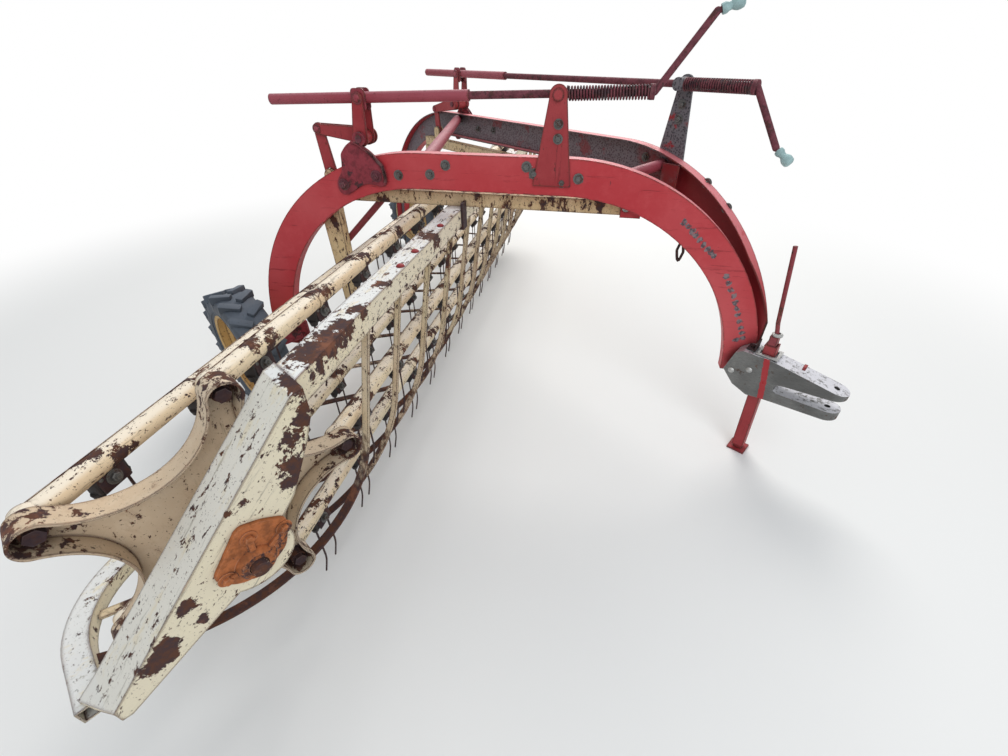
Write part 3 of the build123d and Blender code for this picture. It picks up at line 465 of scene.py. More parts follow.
def aged_paint(f, base, faded, grain, rim, top, undercoat):
    # The paint that is left, with its fading and scratches, a painted sky highlight on faces that look up, and
    # painted shade in corners and gaps
    paint = f.mix(f.mottle((1.7, 3.0, 0.5), 0.35, 0.68), base, faded)
    paint = f.mix(f.mottle((22.0, 6.0, 0.7), 0.42, 0.75, 0.0, 0.3), paint, shade(faded, 1.12))
    # Painted sky highlight: faces that look up take the top colour in flakes
    if top is not None:
        flaked_highlight = f.mottle((24.0, 8.0, 0.75), 0.36, 0.47, 0.2, 1.0, (grain, 3.0))
        paint = f.mix(f.times(f.step(f.facing(UP), 0.45, 0.9), flaked_highlight), paint, top)
    paint = f.mix(f.mottle((60.0, 6.0, 0.75, 0.3), 0.58, 0.66, 0.0, 0.6, (grain, 14.0)), paint, shade(base, 0.36))
    # Painted shade: the paint darkened where ambient occlusion finds corners and gaps
    paint = f.mix(f.corners(0.05, 0.7), paint, shade(base, 0.24, 0.008))
    if undercoat is not None:
        thin = f.times(rim, f.mottle((10.0, 8.0, 0.7), 0.42, 0.52, 0.0, 0.8))
        lines = f.mottle((90.0, 6.0, 0.75), 0.66, 0.70, 0.0, 0.65, (grain, 20.0))
        paint = f.mix(f.most(thin, lines), paint, undercoat)
    return paint


def mount_mask(f):
    # 1 round each tine mount of a bar
    turns = f.times(f.along(-FORWARD), 1.0 / MOUNT_PITCH)
    turns = f.plus(turns, (FRONT_HEAD.x - FIRST_MOUNT) / MOUNT_PITCH + 20.5)
    off = f.maths("ABSOLUTE", f.minus(f.maths("FRACT", turns), 0.5))
    off = f.plus(off, f.mottle((34.0, 8.0, 0.75), 0.35, 0.65, -0.10, 0.22))
    return f.step(off, 0.17, 0.14)


def lost_paint(f, patch_noise, patches, chips, edge_wear, grain, rim, worn_spots, rhythm, lowered):
    # 1 where the paint has gone
    masks = [
        f.step(patch_noise, 0.72 - 0.20 * patches, 0.735 - 0.20 * patches),
        f.mottle((56.0, 7.0, 0.72), 0.76 - 0.19 * chips, 0.78 - 0.19 * chips, grain=(grain, 1.8)),
        f.mottle((150.0, 5.0, 0.7), 0.74 - 0.13 * chips, 0.76 - 0.13 * chips),
        f.times(rim, f.mottle((24.0, 8.0, 0.75), 0.62 - 0.32 * edge_wear, 0.66 - 0.32 * edge_wear)),
    ]
    if worn_spots:
        masks.append(f.spots(worn_spots, 0.04, 0.045, 34.0))
    if rhythm:
        masks.append(mount_mask(f))
    if lowered is not None:
        height = f.plus(f.along(UP), f.mottle((13.0, 8.0, 0.7), 0.3, 0.7, -0.12, 0.12))
        masks.append(f.step(height, *lowered))
    return f.most(*masks)


def weathered_paint(name, colours, base, faded, patches, chips, edge_wear, top=None, inside=None, bare_spots=(),
                    worn_spots=(), rhythm=False, streaks=None, gloss=0.42, grain=ALONG, greyed=None, lowered=None,
                    undercoat=None):
    """Old paint, faded, scratched, and chipped to rust along its edges and in patches.

    patches, chips and edge_wear run from 0 to 1. top is a painted sky highlight, the colour laid on faces that look
    up, inside the direction that a channel's dark side faces, bare_spots rings of bare metal round bolts, worn_spots
    places worn to dark rust, and streaks places rubbed to grey. rhythm darkens a tine bar at each mount, grain is the
    way the scratches run, greyed the (direction, distance) past which the paint is weathered to grey, lowered the
    heights between which it gives way to rust, and undercoat what shows through along worn edges and scratches.
    """
    f = Finish(name)
    fine = f.noise(160.0, 3.0, 0.6)
    rim = f.edges(0.010)
    paint = aged_paint(f, base, faded, grain, rim, top, undercoat)
    patch_noise = f.noise(8.0, 12.0, 0.74, 0.3, f.grained(grain, 2.2))
    bare = lost_paint(f, patch_noise, patches, chips, edge_wear, grain, rim, worn_spots, rhythm, lowered)
    halo = f.step(patch_noise, 0.64 - 0.20 * patches, 0.735 - 0.20 * patches, 0.0, 0.45)
    stained = f.mix(halo, paint, tuple(0.5 * (a + b) for a, b in zip(base, colours.rust)))
    speckled = f.mix(f.cells(120.0, 0.15, 0.6), (0.030, 0.028, 0.034), (0.16, 0.15, 0.165))
    if inside is not None:
        ragged = f.mottle((9.0, 7.0), 0.3, 0.7, -0.12, 0.12)
        kept = f.most(f.step(f.plus(f.along(FORWARD), ragged), 0.70, 0.95),
                      f.mottle((6.0, 8.0, 0.7), 0.56, 0.62, 0.0, 0.7))
        stained = f.mix(f.step(f.facing(inside), 0.5, 0.85, 0.0, 0.95), stained,
                        f.mix(kept, speckled, shade(base, 0.5)))
    colour = f.mix(bare, stained, rust_colour(f, colours))
    roughness = f.blend(bare, f.step(fine, 0.3, 0.7, gloss - 0.06, gloss + 0.14), 0.88)
    if greyed is not None:
        direction, distance = greyed
        past = f.step(f.along(direction), distance, distance + 0.05)
        colour = f.mix(f.times(past, f.mottle((14.0, 8.0, 0.7), 0.62, 0.54)), colour, speckled)
    if bare_spots:
        spots = f.spots(bare_spots, 0.017, 0.012, 80.0)
        metal = f.mix(f.mottle((90.0, 5.0), 0.42, 0.6), (0.07, 0.07, 0.075), (0.36, 0.34, 0.35))
        colour = f.mix(spots, colour, metal)
        roughness = f.blend(spots, roughness, 0.5)
    if streaks is not None:
        rubbed = f.times(f.spots(streaks, 0.012, 0.009, 60.0), f.mottle((70.0, 8.0, 0.8, 0.3), 0.38, 0.44))
        grey = f.mix(f.mottle((70.0, 6.0), 0.4, 0.6), (0.055, 0.05, 0.06), (0.22, 0.17, 0.18))
        colour = f.mix(rubbed, colour, grey)
        roughness = f.blend(rubbed, roughness, 0.7)
    height = f.minus(f.times(fine, 0.25), f.times(bare, 0.6))
    height = f.plus(height, f.times(f.times(bare, f.noise(120.0, 5.0, 0.7)), 0.7))
    return f.end(colour, roughness, height, 0.0, 0.0012, 0.55)


def rusted_steel(name, colours, tint, edge_highlight=0.0, paint=None, kept=0.0, bright=(0.30, 0.24, 0.22), fine=1.0):
    """Rusted steel, with what is kept of its paint, a painted highlight along its edges and painted shade in its
    corners.
    """
    f = Finish(name)
    colour = f.mix(f.cells(60.0, 0.1, 0.55, 0.0, 0.5), rust_colour(f, colours), shade(colours.old_rust, 1.2))
    colour = f.vector("MULTIPLY", {0: colour, 1: tint})
    if paint is not None:
        left = f.mottle((9.0 * fine, 10.0, 0.74, 0.3), 0.60 - 0.25 * kept, 0.63 - 0.25 * kept)
        colour = f.mix(left, colour, f.mix(f.mottle((40.0, 6.0, 0.7), 0.4, 0.65), paint, shade(paint, 0.55)))
    # Painted highlight: the edges lightened towards the colour bright
    rim = f.times(f.edges(0.004), f.mottle((30.0, 5.0), 0.35, 0.6))
    colour = f.mix(f.times(rim, 0.3 + edge_highlight), colour, bright)
    # Painted shade: darker old rust where ambient occlusion finds corners and gaps
    colour = f.mix(f.corners(0.016, 0.75), colour, shade(colours.old_rust, 0.5))
    height = f.noise(140.0, 7.0, 0.7)
    return f.end(colour, f.step(height, 0.3, 0.7, 0.62, 0.9), height, 0.12, 0.001, 0.6)


def bare_steel(name, colours, level=1.0, rusty=0.55, stripe=None):
    """Weathered bare steel. stripe is (origin, direction, half width) of a band of old red paint."""
    f = Finish(name)
    drawn = f.node("ShaderNodeMapping", {"Vector": f.coordinates, "Scale": (1.0, 9.0, 9.0)}).outputs["Vector"]
    brushed = f.noise(60.0, 5.0, 0.7, 0.0, drawn)
    metal = shade(colours.steel, level)
    colour = f.mix(f.step(brushed, 0.3, 0.7), shade(metal, 0.7), shade(metal, 1.3))
    colour = f.mix(f.mottle((4.0, 5.0, 0.6), 0.4, 0.65, 0.0, 0.7), colour, shade(metal, 0.45))
    spots = f.mottle((24.0, 8.0, 0.75), rusty, rusty + 0.11)
    colour = f.mix(f.times(spots, 0.8), colour, rust_colour(f, colours))
    # Painted highlight: the metal lightened along its edges
    colour = f.mix(f.times(f.edges(0.004), 0.5), colour, shade(metal, 1.9))
    if stripe is not None:
        origin, direction, half = stripe
        off = f.maths("ABSOLUTE", f.minus(f.along(direction), origin.dot(direction)))
        off = f.plus(off, f.times(f.noise(40.0, 6.0, 0.7), half))
        colour = f.mix(f.times(f.step(off, half * 1.35, half * 1.2), 0.85), colour, colours.rail_red)
        # Painted sky highlight: pale grey laid on faces that look up
        sky = f.times(f.step(f.facing(UP), 0.6, 0.95), f.mottle((50.0, 7.0, 0.75), 0.38, 0.5))
        colour = f.mix(sky, colour, (0.62, 0.62, 0.66))
    # Painted shade: near black where ambient occlusion finds corners and gaps
    colour = f.mix(f.corners(0.02, 0.8), colour, (0.03, 0.024, 0.022))
    rough = f.blend(spots, f.step(brushed, 0.3, 0.7, 0.34, 0.55), 0.85)
    return f.end(colour, rough, f.noise(190.0, 5.0, 0.7), 0.6, 0.0006, 0.5)


def aged_rubber(name, base, dusty):
    """Dusty, cracked rubber."""
    f = Finish(name)
    dust = f.mottle((7.0, 6.0, 0.6), 0.35, 0.7)
    colour = f.mix(dust, base, dusty)
    colour = f.mix(f.step(f.facing(UP), 0.2, 1.0, 0.0, 0.4), colour, shade(dusty, 1.5))
    colour = f.mix(f.times(f.mottle((70.0, 8.0, 0.75), 0.60, 0.66), 0.6), colour, shade(base, 0.3))
    # Painted shade: darker rubber where ambient occlusion finds corners and gaps
    colour = f.mix(f.corners(0.03, 0.7), colour, shade(base, 0.35, 0.004))
    return f.end(colour, f.step(dust, 0.0, 1.0, 0.55, 0.85), f.noise(240.0, 4.0, 0.6), 0.0, 0.0006, 0.4)


def plastic(name, colour):
    """A sun-worn plastic grip."""
    f = Finish(name)
    worn = f.mottle((30.0, 6.0, 0.7), 0.4, 0.7)
    tone = f.mix(worn, colour, shade(colour, 1.35, 0.03))
    # Painted shade: darker plastic where ambient occlusion finds corners and gaps
    tone = f.mix(f.corners(0.01, 0.7), tone, shade(colour, 0.3))
    return f.end(tone, f.step(worn, 0.0, 1.0, 0.5, 0.75), f.noise(300.0, 3.0), 0.0, 0.0003, 0.4)


# Bolts of the near rail, and where its paint is rubbed to grey, as (s, z)
RAIL_BOLTS = [(1.425, 1.090), (1.297, 1.097), (1.233, 1.132), (0.925, 1.138), (0.897, 1.116), (0.794, 1.090),
              (0.735, 1.105)]
RAIL_STREAKS = [(0.339, 0.974), (0.321, 0.959), (0.304, 0.944), (0.286, 0.928), (0.268, 0.913), (0.250, 0.897),
                (0.232, 0.881), (0.218, 0.868), (0.204, 0.856), (0.137, 0.782), (0.121, 0.754), (0.106, 0.726),
                (0.091, 0.700), (0.076, 0.673), (0.063, 0.648), (0.050, 0.622), (0.036, 0.594), (0.022, 0.565),
                (0.011, 0.543), (0.001, 0.520), (0.024, 0.508)]
# Where the end beam's web and the main beam are worn to rust, as (x, y, z, radius)
WEB_WEAR = [(1.045, *spot) for spot in (
    (-1.272, 0.868, 0.030), (-1.290, 0.800, 0.034), (-1.313, 0.772, 0.024), (-1.230, 0.930, 0.026),
    (-1.211, 0.956, 0.022), (-1.248, 0.900, 0.020), (-1.397, 0.787, 0.012), (-1.554, 0.628, 0.018),
    (-1.611, 0.565, 0.026), (-1.628, 0.540, 0.024), (-1.655, 0.532, 0.022), (-1.546, 0.565, 0.014),
    (-1.428, 0.780, 0.010))] + [(1.000, -1.232, 0.962, 0.030), (1.030, -1.228, 0.960, 0.026)]
BEAM_WEAR = [(x, y, 0.97, radius) for x, y, radius in (
    (0.914, -1.105, 0.050), (0.945, -1.164, 0.045), (0.890, -1.057, 0.040), (0.930, -1.135, 0.050),
    (0.852, -0.985, 0.030), (0.770, -0.863, 0.028), (0.560, -0.520, 0.050), (0.300, -0.100, 0.040),
    (-0.100, 0.520, 0.050))]


def head_wear(head, forward):
    # The reel head's tips, the end of its shaft, and the worn hollows of its arms
    places = [(*(head + tip(k) + FORWARD * forward), 0.042) for k in range(BARS)]
    places.append((*(head + FORWARD * 0.235), 0.036))
    for k in range(BARS):
        for share, wide in ((0.83, 0.030), (0.74, 0.032), (0.52, 0.036)):
            places.append((*(head + tip(k) * share + FORWARD * (forward + (1.0 - share) * 0.07)), wide))
    return places


def make_finishes(colours):
    def paint(name, *looks, **more):
        return weathered_paint(name + "_paint", colours, *looks, **more)

    def rusted(name, *looks, **more):
        return rusted_steel(name, colours, *looks, **more)

    red, faded, cream = colours.rail_red, colours.faded_red, colours.cream
    # The first two colours are painted sky highlights for faces that look up: pale white on the cream, pink on the
    # rails
    sky_highlight, pink_highlight, undercoat = (0.76, 0.76, 0.74), (0.66, 0.20, 0.22), (0.36, 0.13, 0.10)
    bolts = [RIGHT.at(s, z) for s, z in RAIL_BOLTS]
    streaks = [RIGHT.at(s, z) for s, z in RAIL_STREAKS]
    stripe = (Vector((1.5505, 0.317, 0.40)), Vector((0.985, 0.0, 0.17)).normalized(), 0.014)
    return {
        "right_rail": paint("right_rail", red, faded, 0.0, 0.20, 0.6, pink_highlight, RIGHT.inward, bolts, streaks=streaks,
                            grain=RIGHT.run),
        "left_rail": paint("left_rail", shade(red, 0.9), faded, 0.05, 0.30, 0.8, pink_highlight, LEFT.inward, grain=LEFT.run),
        "red": paint("red", shade(red, 0.62), shade(faded, 0.7), 0.25, 0.6, 0.9, gloss=0.5, grain=UP),
        "posts": paint("post", shade(red, 0.62), shade(faded, 0.75), 0.2, 0.6, 0.9, gloss=0.5, grain=UP,
                       greyed=(LEFTWARD, 0.2)),
        "dark_red": paint("worn_red", (0.22, 0.025, 0.035), (0.28, 0.06, 0.07), 0.7, 0.9, 1.0, gloss=0.55, grain=UP),
        # Its last colour is a painted sky highlight for faces that look up
        "lift_red": paint("lift", (0.26, 0.030, 0.045), (0.34, 0.075, 0.10), 0.25, 0.6, 0.6, (0.35, 0.10, 0.125),
                          gloss=0.45),
        "cream": paint("cream", cream, (0.74, 0.66, 0.46), 0.18, 0.90, 1.0, sky_highlight, worn_spots=WEB_WEAR,
                       gloss=0.5, grain=(0.0, 0.76, 0.65), undercoat=undercoat),
        "beam_cream": paint("beam", cream, (0.76, 0.66, 0.46), 0.45, 0.95, 1.0, sky_highlight, worn_spots=BEAM_WEAR,
                            gloss=0.5, undercoat=undercoat),
        "arm_cream": paint("arm", (0.62, 0.45, 0.24), (0.68, 0.55, 0.38), 0.75, 1.0, 1.0, gloss=0.6, grain=UP),
        # Its last colour is a painted sky highlight for faces that look up
        "bar_cream": paint("bar", (0.76, 0.58, 0.38), (0.80, 0.68, 0.48), 0.12, 0.95, 0.8, (0.84, 0.74, 0.60),
                           rhythm=True, gloss=0.5),
        "head_cream": paint("head", (0.58, 0.44, 0.30), (0.66, 0.56, 0.43), 0.45, 0.8, 1.0,
                            worn_spots=head_wear(FRONT_HEAD, 0.03), gloss=0.55, grain=UP),
        "strip": paint("strip", (0.70, 0.58, 0.38), (0.62, 0.48, 0.34), 0.5, 1.0, 1.0, gloss=0.6, grain=UP,
                       lowered=(0.42, 0.30)),
        "guide": paint("guide", (0.74, 0.62, 0.42), (0.64, 0.52, 0.40), 0.3, 0.9, 1.0, gloss=0.55, grain=UP,
                       lowered=(0.60, 0.42)),
        "rim": paint("rim", (0.50, 0.30, 0.10), (0.58, 0.42, 0.20), 0.6, 0.8, 1.0, gloss=0.6),
        "dark_rust": rusted("dark_rusted_steel", (0.62, 0.62, 0.75)),
        "screw": rusted("screw_steel", (1.1, 0.8, 0.95), 0.2, (0.17, 0.045, 0.06), 0.75, fine=2.0),
        "spring": rusted("spring_steel", (0.85, 0.7, 1.0), 0.1, (0.17, 0.035, 0.05), 0.55, fine=3.0),
        # The orange casting's last colour is its painted edge highlight
        "orange": rusted("orange_casting", (1.0, 1.0, 1.0), 0.3, (0.44, 0.14, 0.045), 0.9, (0.60, 0.32, 0.20)),
        "casting": rusted("painted_casting", (0.9, 0.7, 0.9), 0.15, (0.28, 0.04, 0.055), 0.75),
        "bare": bare_steel("bare_steel", colours),
        "dull": bare_steel("dull_steel", colours, 0.42, 0.50),
        "fork": bare_steel("hitch_steel", colours, 0.62, 0.56, stripe),
        "bright": bare_steel("bright_bolts", colours, 1.5, 0.62),
        "tyre": aged_rubber("tyre_rubber", colours.tyre, shade(colours.tyre, 1.8, 0.01)),
        "rubber": aged_rubber("tine_rubber", (0.014, 0.012, 0.013), (0.05, 0.042, 0.042)),
        "grip": plastic("grip_plastic", (0.26, 0.38, 0.38)),
    }


NODE_FINISH = {
    "right_rail": "right_rail", "left_rail": "left_rail", "cross_tubes": "lift_red", "hitch_fork": "fork",
    "wheel_spindles": "casting", "arm_pivot_pins": "bare", "lift_posts": "posts", "lift_screws": "screw",
    "float_springs": "spring", "crank_grips": "grip", "lift_brackets": "casting", "main_beam": "beam_cream",
    "end_beams": "cream", "reel_bearings": "orange", "rear_lower_tube": "cream", "stripper_bars": "strip",
    "entry_guide": "guide", "suspension_arms": "arm_cream", "arm_hangers": "arm_cream", "beam_hooks": "dark_rust",
    "brace_tube": "dark_red", "stand_leg": "red", "stand_handle": "dark_red",
}
for name in ("right", "left"):
    NODE_FINISH.update({
        name + "_wheel_tyre": "tyre", name + "_wheel_rim": "rim", name + "_bell_crank": "red",
        name + "_lift_strap": "red", name + "_lift_tube": "lift_red"})
for name in ("front", "rear"):
    NODE_FINISH.update({name + "_reel_head": "head_cream", name + "_reel_pins": "dark_rust"})
for number in range(1, BARS + 1):
    NODE_FINISH.update({"tine_bar_%d" % number: "bar_cream", "tines_%d" % number: "rubber"})

FINISHES = {}


class RAKE_OT_finishes(bpy.types.Operator):
    """Makes the finishes and lays them on the frame's own pieces"""
    bl_idname = "rake.finishes"
    bl_label = "Finishes"

    def execute(self, context):
        FINISHES.update(make_finishes(context.scene.rake_colours))
        for node, key in NODE_FINISH.items():
            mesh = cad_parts[node].data
            mesh.materials.clear()
            mesh.materials.append(FINISHES[key])
        return {"FINISHED"}


# Tyres. The carcass is outlined in (radius, offset) points
WHEELS = {"right": Vector((-0.335, -0.9683, 0.31)), "left": Vector((-1.515, 0.9347, 0.31))}
CARCASS = [(0.200, -0.050), (0.197, -0.062), (0.212, -0.072), (0.240, -0.0805), (0.266, -0.0785), (0.281, -0.070),
           (0.288, -0.045), (0.290, 0.0), (0.288, 0.045), (0.281, 0.070), (0.266, 0.0785), (0.240, 0.0805),
           (0.212, 0.072), (0.197, 0.062), (0.200, 0.050), (0.204, 0.0), (0.200, -0.050)]
LUG_TOP = 0.3058
LUG_ROOT = 0.014
LUG_LENGTH, LUG_WIDTH = 0.086, 0.031
LUG_SLANT = radians(36.0)
LUG_BEVEL = 0.003
LUG_OFF, LUG_BACK = 0.041, 0.010
SHOULDER = (0.056, 0.029, 0.011)
SHOULDER_R, SHOULDER_OFF, SHOULDER_BACK = 0.262, 0.075, 0.037
BEAD_R, BEAD_OFF, BEAD_THICK = 0.226, 0.0765, 0.0028


class RAKE_OT_tyres(bpy.types.Operator):
    """Spins the two tyres and stands their lugs on them"""
    bl_idname = "rake.tyres"
    bl_label = "Tyres"

    def execute(self, context):
        sizes = context.scene.rake_sizes
        for side, centre in WHEELS.items():
            bm = bmesh.new()
            turned(bm, seat(centre, FORWARD, LEFTWARD), CARCASS, 64)
            for n in range(2 * sizes.lugs):
                sideways = LEFTWARD * (1 if n % 2 else -1)
                angle = pi * n / sizes.lugs
                outward = Vector((sin(angle), 0.0, cos(angle)))
                onward = Vector((cos(angle), 0.0, -sin(angle)))
                slant = sideways * cos(LUG_SLANT) - onward * sin(LUG_SLANT)
                foot = centre + outward * (LUG_TOP - sizes.lug_height) + sideways * LUG_OFF - onward * LUG_BACK
                brick(bm, seat(foot, slant, outward), (LUG_LENGTH, LUG_WIDTH, sizes.lug_height + LUG_ROOT),
                      LUG_BEVEL, (0.0, 0.0, (sizes.lug_height - LUG_ROOT) / 2))
                flank = centre + outward * SHOULDER_R + sideways * SHOULDER_OFF - onward * SHOULDER_BACK
                brick(bm, seat(flank, outward, sideways), SHOULDER, LUG_BEVEL)
            for way in (-1, 1):
                bead(bm, seat(centre + LEFTWARD * way * BEAD_OFF, FORWARD, LEFTWARD), BEAD_R, BEAD_THICK, 64)
            keep(bm, side + "_tyre", "tyre", side + "_wheel", [side + "_wheel_tyre"])
        return {"FINISHED"}


# Tines. The drops are below a bar's axis
BLOCK, BLOCK_DROP = (0.072, 0.032, 0.041), 0.0335
FOOT_OFF, FOOT_DROP = 0.030, 0.064
CLAMP, CLAMP_TILT = (0.060, 0.044, 0.004), radians(-78.0)
TINE_OFF = 0.016
TINE_TOP, TINE_KNEE, TINE_TIP = 0.040, 0.208, 0.268
TINE_SET = Vector((0.0, -0.016, 0.0))


class RAKE_OT_tines(bpy.types.Operator):
    """Hangs the rubber blocks, their clamps and the wire tines on the five bars"""
    bl_idname = "rake.tines"
    bl_label = "Tines"

    def execute(self, context):
        radius = context.scene.rake_sizes.tine_wire
        for k in range(BARS):
            blocks, wires, clamps, bolts = (bmesh.new() for _ in range(4))
            for i in range(MOUNTS):
                behind = FIRST_MOUNT + i * MOUNT_PITCH
                place = seat(bar_place(k, behind), -ALONG, UP)
                brick(blocks, place, BLOCK, 0.004, (0.0, 0.0, -BLOCK_DROP))
                clamp = shifted(place, 0.0, 0.0165, -0.031) @ Matrix.Rotation(CLAMP_TILT, 4, "X")
                brick(clamps, clamp, CLAMP, 0.0015)
                hex_bolt(bolts, shifted(clamp, 0.0, 0.002, 0.002), 0.016, 0.006)
                dome_bolt(bolts, shifted(clamp, 0.021, -0.009, 0.002), 0.0045, 0.003)
                for way in (-1, 1):
                    disc(blocks, shifted(place, way * FOOT_OFF, 0.0, -FOOT_DROP), 0.0095, 0.014, 10, 0.013)
                    on_bar = bar_place(k, behind - way * TINE_OFF)
                    wire(wires, bend(on_bar - UP * TINE_TOP, on_bar - UP * TINE_KNEE,
                                     on_bar - UP * TINE_TIP + TINE_SET, 0.02, 4), radius)
            body = "bar_%d" % (k + 1)
            keep(blocks, "tine_blocks_%d" % (k + 1), "rubber", body, ["tines_%d" % (k + 1)])
            keep(clamps, "tine_clamps_%d" % (k + 1), "dark_rust", body)
            keep(wires, "tine_wires_%d" % (k + 1), "dark_rust", body)
            keep(bolts, "tine_bolts_%d" % (k + 1), "dull", body)
        return {"FINISHED"}


SEAM_WIDTH, SEAM_HEIGHT = 0.013, 0.0026
BAND_LENGTH = 0.024
HEAD_BOLTS, HEAD_BOLTS_R = 4, 0.043


class RAKE_OT_bars(bpy.types.Operator):
    """Lays the lap seam and bands along each tine bar and puts the nuts on both reel heads"""
    bl_idname = "rake.bars"
    bl_label = "Bar seams"

    def execute(self, context):
        seam = (MOUNT_PITCH * MOUNTS / sin(SWEEP) - 0.05, SEAM_WIDTH, SEAM_HEIGHT)
        for k in range(BARS):
            bm = bmesh.new()
            place = seat(bar_place(k, 0.5 * MOUNT_PITCH * MOUNTS), -ALONG, (UP - ACROSS).normalized())
            brick(bm, place, seam, 0.001, (0.0, 0.0, BAR_R + 0.0005))
            for i in range(1, MOUNTS, 2):
                band = seat_on(bar_place(k, FIRST_MOUNT + i * MOUNT_PITCH), ALONG)
                disc(bm, band, BAR_R + 0.0022, BAND_LENGTH, 24, lift=-BAND_LENGTH / 2)
            keep(bm, "bar_seam_%d" % (k + 1), "bar_cream", "bar_%d" % (k + 1))
        for reel, head, way in (("front", FRONT_HEAD, 1), ("rear", REAR_HEAD, -1)):
            bm = bmesh.new()
            node, outside = reel + "_reel_head", head + FORWARD * way * 0.5
            for k in range(BARS):
                surface = found(node, outside + tip(k) - tip(k).normalized() * 0.020, FORWARD * -way).translation
                nut = head + tip(k)
                nut.x = surface.x
                hex_bolt(bm, seat_on(nut, FORWARD * way), 0.024, 0.008)
            for n in range(HEAD_BOLTS):
                angle = 2 * pi * n / HEAD_BOLTS + 0.5
                beside = outside + Vector((0.0, cos(angle), sin(angle))) * HEAD_BOLTS_R
                hex_bolt(bm, found(node, beside, FORWARD * -way), 0.013)
            keep(bm, reel + "_reel_nuts", "dark_rust", reel + "_reel")
        return {"FINISHED"}


# Lift gear
COIL_R = 0.0228
COIL_STEPS = 14
# The room left before and behind each spring
COIL_GAPS = (0.0125, 0.0275)
COIL_SEAT = 0.004


class RAKE_OT_springs(bpy.types.Operator):
    """Winds the two float springs round the lift screws"""
    bl_idname = "rake.springs"
    bl_label = "Float springs"

    def execute(self, context):
        sizes = context.scene.rake_sizes
        bm = bmesh.new()
        for _, side in SIDES:
            start = side.screw(side.spring_end + COIL_GAPS[0])
            stop = side.screw(side.post[0] - COIL_GAPS[1])
            axis = stop - start
            outward = axis.cross(UP).normalized()
            steps = COIL_STEPS * sizes.spring_turns
            wound = bmesh.ops.create_circle(
                bm, cap_ends=False, segments=6, radius=sizes.spring_wire,
                matrix=seat(start + outward * (COIL_R - sizes.spring_wire), outward, outward.cross(axis)))["verts"]
            edges = list({e for v in wound for e in v.link_edges})
            bmesh.ops.spin(bm, geom=wound + edges, cent=start, axis=axis.normalized(), dvec=axis / steps,
                           angle=2 * pi * sizes.spring_turns, steps=steps, use_merge=False)
            for end in (start - axis.normalized() * 0.0042, stop + axis.normalized() * 0.0002):
                disc(bm, seat_on(end, axis), COIL_R, COIL_SEAT, 24)
        keep(bm, "float_coils", "spring", "frame", ["float_springs"])
        return {"FINISHED"}


# The grip is outlined in (radius, height) points, and each side's crank given by two places on its arm's line
GRIP_OUTLINE = [(0.0088, 0.0), (0.0135, 0.0), (0.0148, 0.003), (0.0148, 0.012), (0.0112, 0.019), (0.0108, 0.026),
                (0.0150, 0.033), (0.0178, 0.040), (0.0180, 0.049), (0.0165, 0.057), (0.0110, 0.0615), (0.0, 0.062)]
CRANKS = ((RIGHT, (0.378, 1.572), (0.328, 1.590)), (LEFT, (0.112, 1.212), (0.064, 1.180)))


class RAKE_OT_grips(bpy.types.Operator):
    """Turns the two crank grips"""
    bl_idname = "rake.grips"
    bl_label = "Crank grips"

    def execute(self, context):
        bm = bmesh.new()
        for side, throw, end in CRANKS:
            start = side.at(*throw, SCREW_INSET)
            way = (side.at(*end, SCREW_INSET) - start).normalized()
            turned(bm, seat_on(start + way * 0.012, way), GRIP_OUTLINE, 24)
        keep(bm, "turned_grips", "grip", "frame", ["crank_grips"])
        return {"FINISHED"}


# The bracket of the right rail, as (s, z), and how far the left one lies from it
BRACKET = [(1.5934, 1.2058), (1.5693, 1.2005), (1.5216, 1.1687), (1.4791, 1.1237), (1.4720, 1.0794), (1.4763, 1.0531),
           (1.4963, 1.0456), (1.5543, 1.0563), (1.5869, 1.0449), (1.6221, 1.0231), (1.6486, 1.0082), (1.6753, 1.0103),
           (1.6884, 1.0370), (1.6819, 1.0641), (1.6556, 1.0947), (1.6495, 1.1365), (1.6481, 1.1585), (1.6231, 1.1869)]
BRACKET_BOLTS = [(1.6568, 1.0485), (1.5124, 1.0848)]
BRACKET_RIB = [(1.5934, 1.2020), (1.5693, 1.1965), (1.5236, 1.1652), (1.4826, 1.1222), (1.4756, 1.0794),
               (1.4803, 1.0571)]
LEFT_SHIFT = (0.410, 0.010)
BRACKET_THICK = 0.011
RIB_INSET, RIB_R = -0.013, 0.006
# At the pivot, as (inset of one end, inset of the other, radius, sides)
BOSSES = [(-0.014, 0.0016, 0.024, 24), (0.0, 0.0016, 0.020, 24)]
PIVOT_PIN = (-0.018, 0.100, 0.0125, 20)


class RAKE_OT_castings(bpy.types.Operator):
    """Casts the two pivot brackets of the lift and bolts them to the rails"""
    bl_idname = "rake.castings"
    bl_label = "Lift brackets"

    def execute(self, context):
        cast, metal = bmesh.new(), bmesh.new()
        for side, shift in ((RIGHT, (0.0, 0.0)), (LEFT, LEFT_SHIFT)):
            outline, rib, bolts = ([(s + shift[0], z + shift[1]) for s, z in points]
                                   for points in (BRACKET, BRACKET_RIB, BRACKET_BOLTS))
            side.plate(cast, [(p.x, p.y) for p in rounded([(s, z, 0.0) for s, z in outline], 0.012)], 0.0,
                       -BRACKET_THICK, 0.003)
            wire(cast, [side.at(s, z, RIB_INSET) for s, z in rib], RIB_R, 8)
            for boss in BOSSES:
                side.pin(cast, side.pivot, *boss)
            side.pin(metal, side.pivot, *PIVOT_PIN)
            for s, z in bolts:
                hex_bolt(metal, side.out(s, z, -BRACKET_THICK), 0.022, 0.008)
        keep(cast, "cast_brackets", "casting", "frame", ["lift_brackets"])
        keep(metal, "bracket_bolts", "screw", "frame")
        return {"FINISHED"}


CRANK_PINS = (0.016, 0.013, 0.015)


